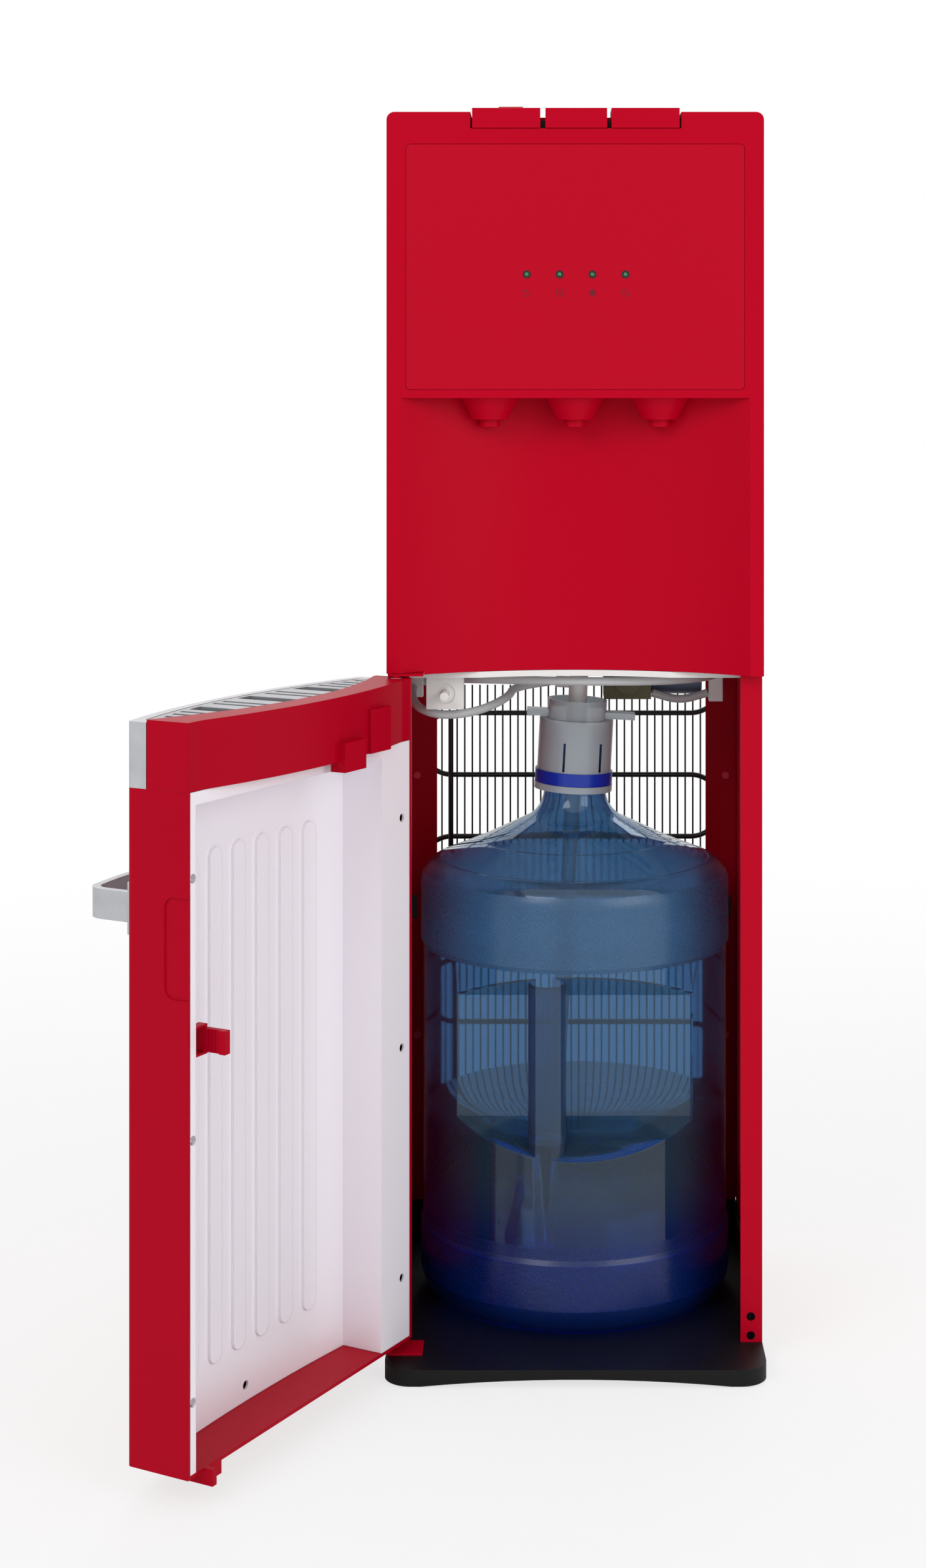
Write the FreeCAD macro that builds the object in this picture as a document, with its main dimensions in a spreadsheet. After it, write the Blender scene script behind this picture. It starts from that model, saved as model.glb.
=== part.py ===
import FreeCAD
import Part

import math
import os
import re

import Sketcher
from FreeCAD import Rotation, Vector

# A free-standing bottom load water cooler with its door open. Millimetres, +Z up, the front looks along -Y.
# The origin is the middle of the base, on the floor. Door pieces are laid out as with the door shut and are
# then swung open about the hinge line.

SHEET_NAME = "Sizes"

SIZES = [
    # the cabinet
    ("body_width", 310.0, "outside width of the cabinet"),
    ("front_reach", 129.0, "base centre to the upper front face"),
    ("rear_reach", 161.0, "base centre to the rear panel's outside"),
    ("flange_setback", 16.7, "upper front face to the side panels' front flanges"),
    ("flange_width", 18.0, "width of a side panel's front flange"),
    ("sheet_wall", 1.0, "thickness of the folded steel"),
    ("shelf_height", "=neck_high + 67.5", "floor to the underside of the upper housing"),
    ("body_height", "=shelf_height + 463.5", "floor to the top deck"),
    ("gap", 0.3, "clearance between pieces that are fitted together"),
    ("housing_wall", 3.5, "wall of the upper front housing"),
    ("corner_radius", 6.5, "rounding of the upper corners"),
    ("cap_drop", 20.0, "depth of the top cover's sides"),
    ("cover_wall", 2.5, "wall of the top cover and the button frame"),
    # the base
    ("base_depth", 342.0, "depth of the base"),
    ("base_corner", 22.0, "corner radius of the base"),
    ("floor_height", 14.8, "top of the base, which carries the bottle"),
    ("base_floor", 4.0, "thickness of the base's floor"),
    ("base_skirt", 3.0, "wall of the base's skirt and rims"),
    ("skirt_gap", 1.5, "air under the skirt's lower edge"),
    ("arch_span", 250.0, "width of the arch under the base's front"),
    ("arch_rise", 5.6, "height of the arch under the base's front"),
    ("rim_height", 44.0, "top of the rims at the sides and the rear"),
    ("rim_front", 20.0, "upper front face to the start of the side rims"),
    ("foot_radius", 13.0, "radius of a rubber foot"),
    ("foot_inset", 34.0, "edge of the base to a foot's middle"),
    # the dispensing cove and its nozzles
    ("cove_half", "=body_width/2 - 11.3", "half the width of the cove at the front face"),
    ("cove_depth", 50.0, "depth of the cove at its middle"),
    ("cove_wall", 2.5, "thickness of the cove's wall"),
    ("cove_top", "=shelf_height + 228.5", "floor to the overhang above the cove"),
    ("nozzle_pitch", "=(body_width - 28)/4", "distance between neighbouring nozzles"),
    ("nozzle_setback", 30.0, "upper front face to the nozzles' middle"),
    ("nozzle_mouth", 24.6, "radius of a nozzle's funnel at the overhang"),
    ("nozzle_waist", 14.6, "radius of a nozzle's funnel at its lower end"),
    ("funnel_drop", 18.0, "height of a nozzle's funnel"),
    ("tip_radius", 8.4, "radius of a nozzle's tip"),
    ("tip_drop", 6.0, "length of a nozzle's tip"),
    ("nozzle_bore", 4.5, "radius of the water way in a nozzle"),
    ("stem_radius", 7.0, "radius of a nozzle's stem above the overhang"),
    ("stem_rise", 14.0, "length of a nozzle's stem above the overhang"),
    ("valve_size", 24.0, "side of a dispensing valve"),
    ("valve_lift", "=cove_top + 36", "floor to the underside of a dispensing valve"),
    ("tube_radius", 5.5, "radius of a silicone tube"),
    # the control panel
    ("panel_half", "=body_width/2 - 16", "half the width of the control panel"),
    ("panel_low", "=cove_top + 7", "lower edge of the control panel"),
    ("panel_high", "=body_height - 26.6", "upper edge of the control panel"),
    ("panel_corner", 4.0, "corner radius of the control panel"),
    ("panel_wall", 2.0, "thickness of the control panel"),
    ("light_height", "=panel_low + 0.4697*(panel_high - panel_low)", "height of the indicator lights"),
    ("light_pitch", 27.0, "distance between neighbouring lights"),
    ("light_shift", 0.7, "middle of the row of lights from the centre"),
    ("lens_radius", 2.2, "radius of a light's lens"),
    ("bezel_radius", 3.2, "radius of the dark ring round a lens"),
    ("bezel_proud", 0.4, "how far a ring stands out of the panel"),
    ("board_gap", 3.0, "housing wall to the indicator board"),
    # the buttons
    ("button_low", "=body_height - 13.2", "lower edge of the buttons' front"),
    ("button_high", "=body_height + 3.4", "top of the buttons"),
    ("button_depth", 44.0, "length of a button from front to rear"),
    ("button_proud", 1.2, "how far the buttons stand out of the front"),
    ("button_wall", 2.2, "wall of a button"),
    ("button_round", 2.0, "rounding of a button's upper front edge"),
    ("hot_left", -84.7, "left edge of the left button"),
    ("hot_right", -28.7, "right edge of the left button"),
    ("room_left", -24.5, "left edge of the middle button"),
    ("room_right", 26.2, "right edge of the middle button"),
    ("cold_left", 29.8, "left edge of the right button"),
    ("cold_right", 85.7, "right edge of the right button"),
    ("button_slit", 1.4, "slit beside the outer buttons"),
    ("button_pivot", 3.0, "radius of the pivot under a button's front"),
    ("press_room", 6.0, "room under the buttons' rear"),
    ("tab_left", -62.9, "left side of the child lock's tab"),
    ("tab_width", 20.0, "width of the child lock's tab"),
    ("tab_length", 15.0, "length of the child lock's tab"),
    ("tab_rise", 1.2, "how far the child lock's tab stands up"),
    ("tab_setback", 7.0, "button's front to the child lock's tab"),
    ("tab_travel", 6.0, "how far the child lock's tab slides"),
    # the rear
    ("window_half", "=body_width/2 - 29.3", "half the width of the rear panel's window"),
    ("window_low", 70.0, "lower edge of the window"),
    ("window_high", "=shelf_height - 15.5", "upper edge of the window"),
    ("slot_height", 22.0, "height of a side slot in the rear panel"),
    ("slot_width", 5.0, "width of a side slot in the rear panel"),
    ("slot_low", 307.0, "lower edge of the side slots"),
    ("slot_side", "=body_width/2 - 8", "centre to a side slot"),
    ("vent_length", 90.0, "length of a vent slot"),
    ("vent_height", 4.0, "height of a vent slot"),
    ("vent_pitch", 11.0, "distance between vent slots"),
    ("vent_low", "=body_height - 241", "height of the lowest vent slot"),
    ("vent_side", 62.0, "centre to the middle of a column of vents"),
    ("switch_height", "=shelf_height + 72.5", "height of the power switches' middle"),
    ("switch_width", 13.0, "width of a power switch's opening"),
    ("switch_tall", 19.0, "height of a power switch's opening"),
    ("switch_pitch", 24.0, "distance between the power switches"),
    ("switch_side", 100.0, "centre to the middle of the switches"),
    ("rocker_radius", 10.5, "radius of a rocker's back"),
    ("rocker_tilt", 8.0, "tilt of a rocker at rest, in degrees"),
    ("rocker_pin", 1.5, "radius of a rocker's pivot"),
    ("inlet_width", 26.0, "width of the mains lead's gland plate"),
    ("inlet_tall", 20.0, "height of the mains lead's gland plate"),
    ("inlet_height", "=shelf_height + 22.5", "height of the gland plate's middle"),
    ("drain_height", "=switch_height", "height of the drain's middle"),
    ("drain_side", -100.0, "centre to the drain"),
    ("drain_radius", 12.0, "radius of the drain's cap"),
    ("drain_neck", 7.0, "radius of the drain's neck"),
    ("screw_radius", 3.4, "radius of a panel screw's head"),
    ("screw_proud", 1.6, "height of a panel screw's head"),
    ("screw_side", "=body_width/2 - 10.5", "centre to the rear panel's screws"),
    ("screw_upper", "=window_high - 111", "height of the rear panel's upper screws"),
    ("screw_lower", 198.0, "height of the rear panel's lower screws"),
    ("flange_hole", 3.6, "radius of a hole in a front flange"),
    ("flange_hole_side", "=body_width/2 - 9.5", "centre to the holes in a front flange"),
    ("flange_hole_low", 20.2, "height of the lower hole in a flange"),
    ("flange_hole_high", 35.9, "height of the upper hole in a flange"),
    # the condenser
    ("coil_radius", 2.4, "radius of the condenser's tube"),
    ("coil_gap", 9.0, "rear panel to the middle of the condenser's tube"),
    ("coil_half", "=window_half - 13.7", "half the width of the condenser's straight runs"),
    ("coil_top", "=window_high - 54", "height of the condenser's top run"),
    ("coil_pitch", 58.0, "distance between the condenser's runs"),
    ("coil_runs", 8.0, "number of the condenser's runs"),
    ("wire_radius", 0.8, "radius of a condenser wire"),
    ("wire_pitch", 7.16, "distance between condenser wires"),
    ("wire_count", 35.0, "number of condenser wires"),
    ("wire_over", 26.0, "how far the wires pass the top and bottom runs"),
    ("riser_side", "=-coil_half - 1", "centre to the riser pipe"),
    # the shelf and what hangs under it
    ("shelf_wall", 4.0, "thickness of the shelf"),
    ("lip_drop", 5.0, "height of the lip along the shelf's front"),
    ("shelf_setback", 36.0, "upper front face to the shelf's straight front"),
    ("sensor_left", -124.6, "left side of the door switch's housing"),
    ("sensor_right", -93.2, "right side of the door switch's housing"),
    ("sensor_low", "=shelf_height - 33.5", "underside of the door switch's housing"),
    ("sensor_front", 50.0, "upper front face to the housing's front"),
    ("sensor_depth", 18.0, "depth of the door switch's housing"),
    ("sensor_recess", 8.4, "radius of the recess round the pin"),
    ("pin_radius", 3.6, "radius of the door switch's pin"),
    ("pin_height", "=sensor_low + 13", "height of the door switch's pin"),
    ("pin_proud", 19.5, "how far the pin stands out of its housing"),
    ("pin_travel", 5.0, "travel of the door switch's pin"),
    ("pump_left", 28.0, "left side of the water pump"),
    ("pump_right", 70.0, "right side of the water pump"),
    ("pump_front", 180.0, "upper front face to the pump's front"),
    ("pump_depth", 44.0, "depth of the water pump"),
    ("pump_low", "=shelf_height - 41.5", "underside of the water pump"),
    ("motor_radius", 15.0, "radius of the pump's motor"),
    ("motor_length", 46.0, "length of the pump's motor"),
    ("hose_radius", 3.6, "radius of the hoses"),
    ("hose_clip_side", "=17 - body_width/2", "centre to the clip that holds the hoses"),
    ("hose_clip_back", 106.0, "upper front face to the clip's middle"),
    ("hose_clip_drop", 29.5, "housing's underside to the clip's lower end"),
    # what stands in the upper body
    ("compressor_radius", 52.0, "radius of the compressor"),
    ("compressor_side", 84.0, "centre to the compressor"),
    ("compressor_back", 90.0, "base centre to the compressor's middle"),
    ("compressor_lift", "=shelf_height + 34.5", "height of the compressor's lower rim"),
    ("compressor_tall", 92.0, "height of the compressor's straight side"),
    ("compressor_dome", 22.0, "height of the compressor's domes"),
    ("grommet_radius", 9.0, "radius of a rubber mount"),
    ("cold_radius", 58.0, "radius of the cold tank"),
    ("cold_side", 45.0, "centre to the cold tank"),
    ("cold_back", 70.0, "base centre to the cold tank's middle"),
    ("cold_low", "=shelf_height + 202.5", "height of the cold tank's underside"),
    ("cold_tall", "=(body_height - cold_low)*170/261", "height of the cold tank"),
    ("tank_wall", 1.2, "wall of the tanks"),
    ("foam_wall", 18.0, "least thickness of the insulation"),
    ("hot_radius", 42.0, "radius of the hot tank"),
    ("hot_side", "=60 - body_width/2", "centre to the hot tank"),
    ("hot_back", 60.0, "base centre to the hot tank's middle"),
    ("hot_low", "=shelf_height + 132.5", "height of the hot tank's underside"),
    ("hot_tall", "=(body_height - hot_low)*150/331", "height of the hot tank"),
    ("band_tall", 12.0, "height of a heating band"),
    ("band_wall", 2.5, "thickness of a heating band"),
    ("bracket_wall", 2.0, "thickness of the tanks' and hinges' brackets"),
    # the hinges
    ("hinge_inset", 8.0, "side of the cabinet to the hinge line"),
    ("hinge_setback", 3.0, "upper front face back to the hinge line"),
    ("door_angle", 118.5, "opening of the door as it is shown, in degrees"),
    ("pin_thick", 3.0, "radius of a hinge pin"),
    ("pin_long", 16.0, "length of a hinge pin inside the door"),
    ("pin_play", 0.08, "running clearance round a hinge pin"),
    ("bush_wall", 1.6, "wall of a hinge bush"),
    ("plate_reach", 22.0, "hinge line to a hinge plate's inner end"),
    ("plate_half", 15.0, "hinge line to the lower hinge plate's front"),
    # the door
    ("door_clear", 0.5, "how much narrower the door is, on each side"),
    ("door_gap", 1.0, "front flanges to the door's inner plane"),
    ("door_depth", 54.7, "depth of the door's sides"),
    ("door_bow", 19.0, "how far the door's front bows out"),
    ("door_low", "=floor_height + 10.2", "underside of the door's shell"),
    ("door_wall", 2.5, "wall of the door's shell"),
    ("door_corner", 4.0, "rounding of the door's front edges"),
    ("cap_low", "=cap_high - 50", "underside of the door's cap"),
    ("cap_high", "=shelf_height - 1.5", "top of the door's cap"),
    ("bulge_half", "=body_width/2 - 19.5", "half the width of the cap's bulge"),
    ("cap_bulge", 15.3, "how far the cap's inner face bulges back"),
    ("fascia_drop", 2.0, "cap's top to the silver band's top"),
    ("fascia_wall", 3.0, "wall of the silver band"),
    ("fascia_side", 17.5, "depth of the silver band's ends"),
    ("grille_rim", 7.5, "width of the silver rim round the grille"),
    ("grille_back", 30.5, "how far the grille's rear edge bows back"),
    ("grille_wall", 3.0, "thickness of the drip grille"),
    ("grille_end", 12.0, "door's side to the end of the grille"),
    ("grille_margin", 5.0, "edge of the grille to its slots"),
    ("slat_first", "=(body_width + 120)/20", "outer wide slot to the first narrow slot beside it"),
    ("slat_pitch", "=(body_width - 40)/20", "distance between the narrow slots at the ends"),
    ("slat_slot", 6.0, "width of a narrow grille slot"),
    ("wide_slot", 18.0, "width of a grille slot under a nozzle"),
    ("tray_depth", 28.0, "depth of the drip tray"),
    ("tray_wall", 2.0, "wall of the drip tray"),
    ("liner_wall", 2.0, "wall of the door's liner"),
    ("pan_left", "=51 - body_width/2", "hinge side of the liner's pan"),
    ("pan_right", "=body_width/2 - 10", "free side of the liner's pan"),
    ("pan_high", "=cap_low - 10", "top of the liner's pan"),
    ("pan_depth", 36.7, "depth of the pan at its sides"),
    ("pan_bow", 5.0, "how much deeper the pan is at its middle"),
    ("rib_pitch", 31.0, "distance between the liner's ribs"),
    ("rib_width", 16.0, "width of a rib"),
    ("rib_rise", 2.2, "height of a rib"),
    ("rib_low", 72.0, "lower end of the ribs"),
    ("rib_high", "=pan_high - 46", "upper end of the ribs"),
    ("grip_low", "=grip_high - 73", "lower end of the finger groove"),
    ("grip_high", "=cap_low - 76", "upper end of the finger groove"),
    ("grip_width", 21.0, "width of the finger groove"),
    ("grip_sink", 1.2, "depth of the finger groove"),
    ("liner_hole", 3.4, "radius of the holes in the liner"),
    ("liner_screw_low", 79.0, "height of the lowest liner screws"),
    ("liner_screw_pitch", "=(pan_high - 131)/2", "distance between liner screws"),
    ("liner_screw_left", "=20 - body_width/2", "hinge side liner screws"),
    ("liner_screw_right", "=body_width/2 - 6.4", "free side liner screws"),
    ("sill_height", 40.0, "height of the screw in the pan's floor"),
    ("sill_side", 25.0, "centre to the screw in the pan's floor"),
    ("sole_low", 15.6, "underside of the door's foot"),
    ("sole_length", 22.0, "length of the door's foot"),
    ("sole_front", 36.0, "door's inner plane to the front of its foot"),
    ("toe_reach", 8.0, "how far the foot's toe stands behind the door"),
    ("toe_width", 5.0, "width of the foot's toe"),
    ("toe_height", 12.0, "height of the foot's toe"),
    ("hook_height", 335.0, "height of the latch's middle"),
    ("hook_tall", 17.0, "height of the latch"),
    ("hook_wall", 5.0, "thickness of the latch"),
    ("hook_reach", 18.0, "how far the latch stands behind the door"),
    ("hook_nib", 1.5, "height of the latch's nib"),
    ("hook_pin", 1.3, "radius of the latch's pin"),
    ("pivot_depth", 7.0, "door's inner plane to the latch's pin"),
    ("hook_side", "=body_width/2 - 21.5", "centre to the latch's outer side"),
    ("groove_width", 1.4, "width of a groove in the latch"),
    ("clip_left", -96.0, "left side of the block behind the cap"),
    ("clip_width", 30.0, "width of the block behind the cap"),
    ("clip_reach", 14.0, "how far that block stands behind the door"),
    ("tongue_left", -48.5, "left side of the tongue behind the cap"),
    ("tongue_width", 30.0, "width of the tongue behind the cap"),
    ("tongue_reach", 21.0, "how far the tongue stands behind the door"),
    ("tongue_low", "=cap_low - 8", "lower end of the tongue"),
    ("tongue_high", "=cap_low + 15", "upper end of the tongue"),
    # the handle
    ("handle_height", "=cap_low - 89", "height of the handle's middle"),
    ("handle_left", 50.0, "hinge side end of the handle"),
    ("handle_right", "=body_width/2 - 9", "free side end of the handle"),
    ("handle_tall", 22.0, "height of the handle's band"),
    ("handle_wall", 6.0, "thickness of the handle's band"),
    ("handle_reach", 34.0, "door's front to the handle's outside"),
    ("plate_wall", 3.0, "thickness of the handle's plate"),
    ("plate_tall", 38.0, "height of the handle's plate"),
    # the bottle and the probe
    ("bottle_back", 148.0, "upper front face to the bottle's middle"),
    ("bottle_side", 1.3, "centre to the bottle's middle"),
    ("bottle_radius", 135.0, "radius of the bottle"),
    ("bottle_waist", 133.0, "radius of the bottle between its bands"),
    ("bottle_wall", 1.5, "wall of the bottle"),
    ("heel_round", 26.0, "rounding of the bottle's heel"),
    ("band_low", 78.0, "top of the lower band, from the floor"),
    ("band_high", "=neck_high - 177", "underside of the upper band"),
    ("shoulder_low", "=neck_high - 128", "height where the shoulder starts"),
    ("shoulder_mid", "=neck_high - 107", "upper end of the shoulder's rounding"),
    ("shoulder_mid_radius", 118.0, "radius at the end of the shoulder's rounding"),
    ("seam_height", "=neck_high - 92", "height of the seam on the shoulder"),
    ("seam_radius", 82.0, "radius of the seam on the shoulder"),
    ("throat_height", "=neck_high - 74", "height of the throat"),
    ("throat_radius", 45.0, "radius of the throat"),
    ("neck_low", "=neck_high - 48", "height where the neck starts"),
    ("neck_radius", 27.0, "radius of the neck"),
    ("neck_high", 500.0, "top of the neck"),
    ("grip_left", -120.0, "left side of the bottle's grip recess"),
    ("grip_right", 98.0, "right side of the bottle's grip recess"),
    ("recess_low", 163.0, "lower edge of the grip recess"),
    ("recess_high", "=band_high - 6", "upper edge of the grip recess"),
    ("recess_depth", 48.0, "depth of the grip recess"),
    ("recess_corner", 30.0, "corner radius of the grip recess"),
    ("recess_taper", 26.0, "how much lower the recess is at its back, above and below"),
    ("column_side", -23.0, "centre to the bottle's grip"),
    ("column_radius", 16.0, "radius of the bottle's grip"),
    ("column_back", 19.0, "bottle's front to the middle of its grip"),
    ("probe_lean", 3.0, "lean of the probe, in degrees"),
    ("lean_height", "=neck_high - 20", "height about which the probe leans"),
    ("collar_low", "=neck_low", "lower edge of the probe's cap"),
    ("collar_radius", 32.4, "radius of the probe's cap"),
    ("collar_lip", 34.2, "radius of the cap's lower lip"),
    ("collar_wall", 2.2, "wall of the probe's cap"),
    ("collar_step", "=crown_high - 16.6", "height of the step in the cap"),
    ("crown_radius", 26.0, "radius of the cap's upper part"),
    ("crown_high", "=neck_high + 30.6", "top of the cap"),
    ("crown_sink", 5.0, "depth of the hollow in the cap's top"),
    ("ring_low", "=collar_low + 6", "lower edge of the ring"),
    ("ring_high", "=ring_low + 11", "upper edge of the ring"),
    ("ring_radius", 34.0, "radius of the ring"),
    ("wing_height", "=collar_step + 4", "height of the cap's wings"),
    ("wing_wall", 5.5, "thickness of the cap's wings"),
    ("wing_left", 44.0, "reach of the left wing"),
    ("wing_right", 51.0, "reach of the right wing"),
    ("slit_low", "=ring_high + 1", "lower end of the slits in the cap"),
    ("slit_high", "=slit_low + 25", "upper end of the slits in the cap"),
    ("slit_width", 2.0, "width of a slit in the cap"),
    ("slit_left", -8.4, "centre to the left slit"),
    ("slit_right", 23.2, "centre to the right slit"),
    ("spout_radius", 8.2, "radius of the pipe on the cap"),
    ("spout_high", "=shelf_height - 16.5", "top of the pipe on the cap"),
    ("barb_height", "=spout_high - 6", "height of the side connector"),
    ("barb_radius", 5.0, "radius of the side connector"),
    ("barb_reach", 20.0, "reach of the side connector"),
    ("pickup_radius", 6.5, "radius of the pickup tube"),
    ("pickup_wall", 1.2, "wall of the pickup tube"),
    ("strainer_low", 24.0, "lower end of the strainer"),
    ("strainer_tall", 26.0, "height of the strainer"),
    ("strainer_radius", 9.5, "radius of the strainer"),
]
SIZE_NAMES = {name for name, _, _ in SIZES}

HALF = "body_width/2"
FRONT = "(-front_reach)"
FLANGE = "(flange_setback - front_reach)"
REAR = "rear_reach"
INSIDE = "(body_width/2 - sheet_wall - gap)"
DECK_SIDE = "(body_height - cap_drop)"
COVE_RADIUS = "((cove_half*cove_half + cove_depth*cove_depth)/(2*cove_depth))"
COVE_CENTRE = f"(cove_depth - {COVE_RADIUS} - front_reach)"
HINGE_X = "(hinge_inset - body_width/2)"
HINGE_Y = "(hinge_setback - front_reach)"
DOOR_HALF = "(body_width/2 - door_clear)"
DOOR_BACK = "(flange_setback - door_gap - front_reach)"
DOOR_EDGE = "(flange_setback - door_gap - front_reach - door_depth)"
DOOR_APEX = "(flange_setback - door_gap - front_reach - door_depth - door_bow)"
DOOR_SWEEP = "(flange_setback - door_gap - hinge_setback)"
FASCIA_BACK = "(flange_setback - door_gap - front_reach - door_depth + fascia_side)"
FASCIA_TOP = "(cap_high - fascia_drop)"
PAN_FLOOR = "(flange_setback - door_gap - front_reach - pan_depth)"
BOTTLE_Y = "(bottle_back - front_reach)"
BOTTLE_LOW = "(floor_height + gap)"
NOZZLE_Y = "(nozzle_setback - front_reach)"
BUTTON_FRONT = "(-front_reach - button_proud)"
BUTTON_REAR = "(button_depth - front_reach - button_proud)"

doc = FreeCAD.newDocument("water_cooler")
sheet = doc.addObject("Spreadsheet::Sheet", SHEET_NAME)
for row, (size_name, _, meaning) in enumerate(SIZES, start=1):
    sheet.set(f"A{row}", size_name)
    sheet.set(f"C{row}", meaning)
    sheet.setAlias(f"B{row}", size_name)
for row, (_, size, _) in enumerate(SIZES, start=1):
    sheet.set(f"B{row}", str(size))
doc.recompute()

nodes = []


def linked(text):
    """Turn each size's name in an expression into a reference to its cell."""
    return re.sub(
        r"[a-z_]+",
        lambda word: f"{SHEET_NAME}.{word[0]}" if word[0] in SIZE_NAMES else word[0],
        str(text),
    )


def value(text):
    """Work an expression out as a number."""
    return float(sheet.evalExpression(linked(text)))


def place(item, x="0", y="0", z="0"):
    """Bind an object's position to expressions."""
    for axis, text in zip("xyz", (x, y, z)):
        item.setExpression(f"Placement.Base.{axis}", linked(text))
    return item


def block(name, across, along, up):
    """Make a box from its limits in x, y and z."""
    box = doc.addObject("Part::Box", name)
    for side, (low, high) in zip(("Length", "Width", "Height"), (across, along, up)):
        box.setExpression(side, linked(f"({high}) - ({low})"))
    return place(box, across[0], along[0], up[0])


AXIS_TURNS = {
    "z": Rotation(),
    "x": Rotation(Vector(0, 1, 0), 90),
    "y": Rotation(Vector(1, 0, 0), -90),
}


def rod(name, radius, length, x="0", y="0", z="0", axis="z"):
    """Make a cylinder that starts at a point and runs along an axis."""
    cylinder = doc.addObject("Part::Cylinder", name)
    cylinder.setExpression("Radius", linked(radius))
    cylinder.setExpression("Height", linked(length))
    cylinder.Placement.Rotation = AXIS_TURNS[axis]
    return place(cylinder, x, y, z)


def fuse(name, *items):
    """Join several objects into one solid."""
    union = doc.addObject("Part::MultiFuse", name)
    union.Shapes = list(items)
    return union


def cut(name, base, *tools):
    """Take one or more objects away from another."""
    difference = doc.addObject("Part::Cut", name)
    difference.Base = base
    difference.Tool = tools[0] if len(tools) == 1 else fuse(f"{name}_tools", *tools)
    return difference


def common(name, first, second):
    """Keep what two objects share."""
    shared = doc.addObject("Part::Common", name)
    shared.Base = first
    shared.Tool = second
    return shared


def bind_point(sketch, edge, end, x, y):
    """Tie one point of a sketch to two expressions."""
    for kind, text in (("DistanceX", x), ("DistanceY", y)):
        number = sketch.addConstraint(Sketcher.Constraint(kind, -1, 1, edge, end, value(text)))
        sketch.setExpression(f"Constraints[{number}]", linked(text))


def draw(body, plane, corners, lift):
    """Draw a closed outline. A corner is (x, y), or (x, y, via_x, via_y) where an arc leads to it."""
    sketch = body.newObject("Sketcher::SketchObject", f"{body.Name}_outline")
    support = next(item for item in body.Origin.OriginFeatures if item.Role == plane)
    sketch.AttachmentSupport = [(support, "")]
    sketch.MapMode = "FlatFace"
    sketch.setExpression("AttachmentOffset.Base.z", linked(lift))
    points = [Vector(value(corner[0]), value(corner[1]), 0) for corner in corners]
    edges = []
    for number, corner in enumerate(corners):
        start, end = points[number - 1], points[number]
        if len(corner) == 4:
            middle = Vector(value(corner[2]), value(corner[3]), 0)
            clockwise = (middle - start).cross(end - middle).z < 0
            arc = Part.Arc(end, middle, start) if clockwise else Part.Arc(start, middle, end)
            edge = sketch.addGeometry(arc, False)
            edges.append((edge, 2, 1) if clockwise else (edge, 1, 2))
            via = sketch.addGeometry(Part.Point(middle), True)
            bind_point(sketch, via, 1, corner[2], corner[3])
            sketch.addConstraint(Sketcher.Constraint("PointOnObject", via, 1, edge))
        else:
            edges.append((sketch.addGeometry(Part.LineSegment(start, end), False), 1, 2))
    for number, (edge, _, last) in enumerate(edges):
        following, first, _ = edges[(number + 1) % len(edges)]
        sketch.addConstraint(Sketcher.Constraint("Coincident", edge, last, following, first))
        bind_point(sketch, edge, last, *corners[number][:2])
    return sketch


PLANE_LIFT = {"XY_Plane": 1, "YZ_Plane": 1, "XZ_Plane": -1}


def prism(name, corners, low, high, plane="XY_Plane"):
    """Pad an outline from one height to another along the plane's own axis."""
    body = doc.addObject("PartDesign::Body", name)
    lift = low if PLANE_LIFT[plane] > 0 else f"-({high})"
    sketch = draw(body, plane, corners, lift)
    pad = body.newObject("PartDesign::Pad", f"{name}_pad")
    pad.Profile = sketch
    pad.setExpression("Length", linked(f"({high}) - ({low})"))
    return body


def turned(name, corners, x="0", y="0", z="0"):
    """Revolve an outline, given as radius and height, about the upright axis through a point."""
    body = doc.addObject("PartDesign::Body", name)
    sketch = draw(body, "XZ_Plane", corners, "0")
    revolution = body.newObject("PartDesign::Revolution", f"{name}_turn")
    revolution.Profile = sketch
    revolution.ReferenceAxis = (sketch, ["V_Axis"])
    revolution.Angle = 360
    return place(body, x, y, z)


def piece(item, node):
    """Name a finished piece after its node and keep it for writing."""
    item.Label = node
    nodes.append(item)
    return item


def swing(item):
    """Turn a door piece from its shut place to the open place, about the hinge line."""
    item.Placement = FreeCAD.Placement(Vector(), Rotation(Vector(0, 0, 1), -1))
    item.setExpression("Placement.Rotation.Angle", linked("-door_angle"))
    turned_x = f"({HINGE_X}*cos(door_angle) + {HINGE_Y}*sin(door_angle))"
    turned_y = f"({HINGE_Y}*cos(door_angle) - {HINGE_X}*sin(door_angle))"
    return place(item, f"{HINGE_X} - {turned_x}", f"{HINGE_Y} - {turned_y}")


def lean(item):
    """Tip a probe piece to the right about the bottle's neck."""
    item.Placement = FreeCAD.Placement(Vector(), Rotation(Vector(0, 1, 0), 1))
    item.setExpression("Placement.Rotation.Angle", linked("probe_lean"))
    return place(item, "-lean_height*sin(probe_lean)", "0", "lean_height*(1 - cos(probe_lean))")


def rounded(left, right, low, high, radius):
    """Give the outline of a rectangle with rounded corners."""
    far = f"({radius})*(1 - cos(45))"
    return [
        (f"{right} - {radius}", low),
        (right, f"{low} + {radius}", f"{right} - {far}", f"{low} + {far}"),
        (right, f"{high} - {radius}"),
        (f"{right} - {radius}", high, f"{right} - {far}", f"{high} - {far}"),
        (f"{left} + {radius}", high),
        (left, f"{high} - {radius}", f"{left} + {far}", f"{high} - {far}"),
        (left, f"{low} + {radius}"),
        (f"{left} + {radius}", low, f"{left} + {far}", f"{low} + {far}"),
    ]


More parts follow.
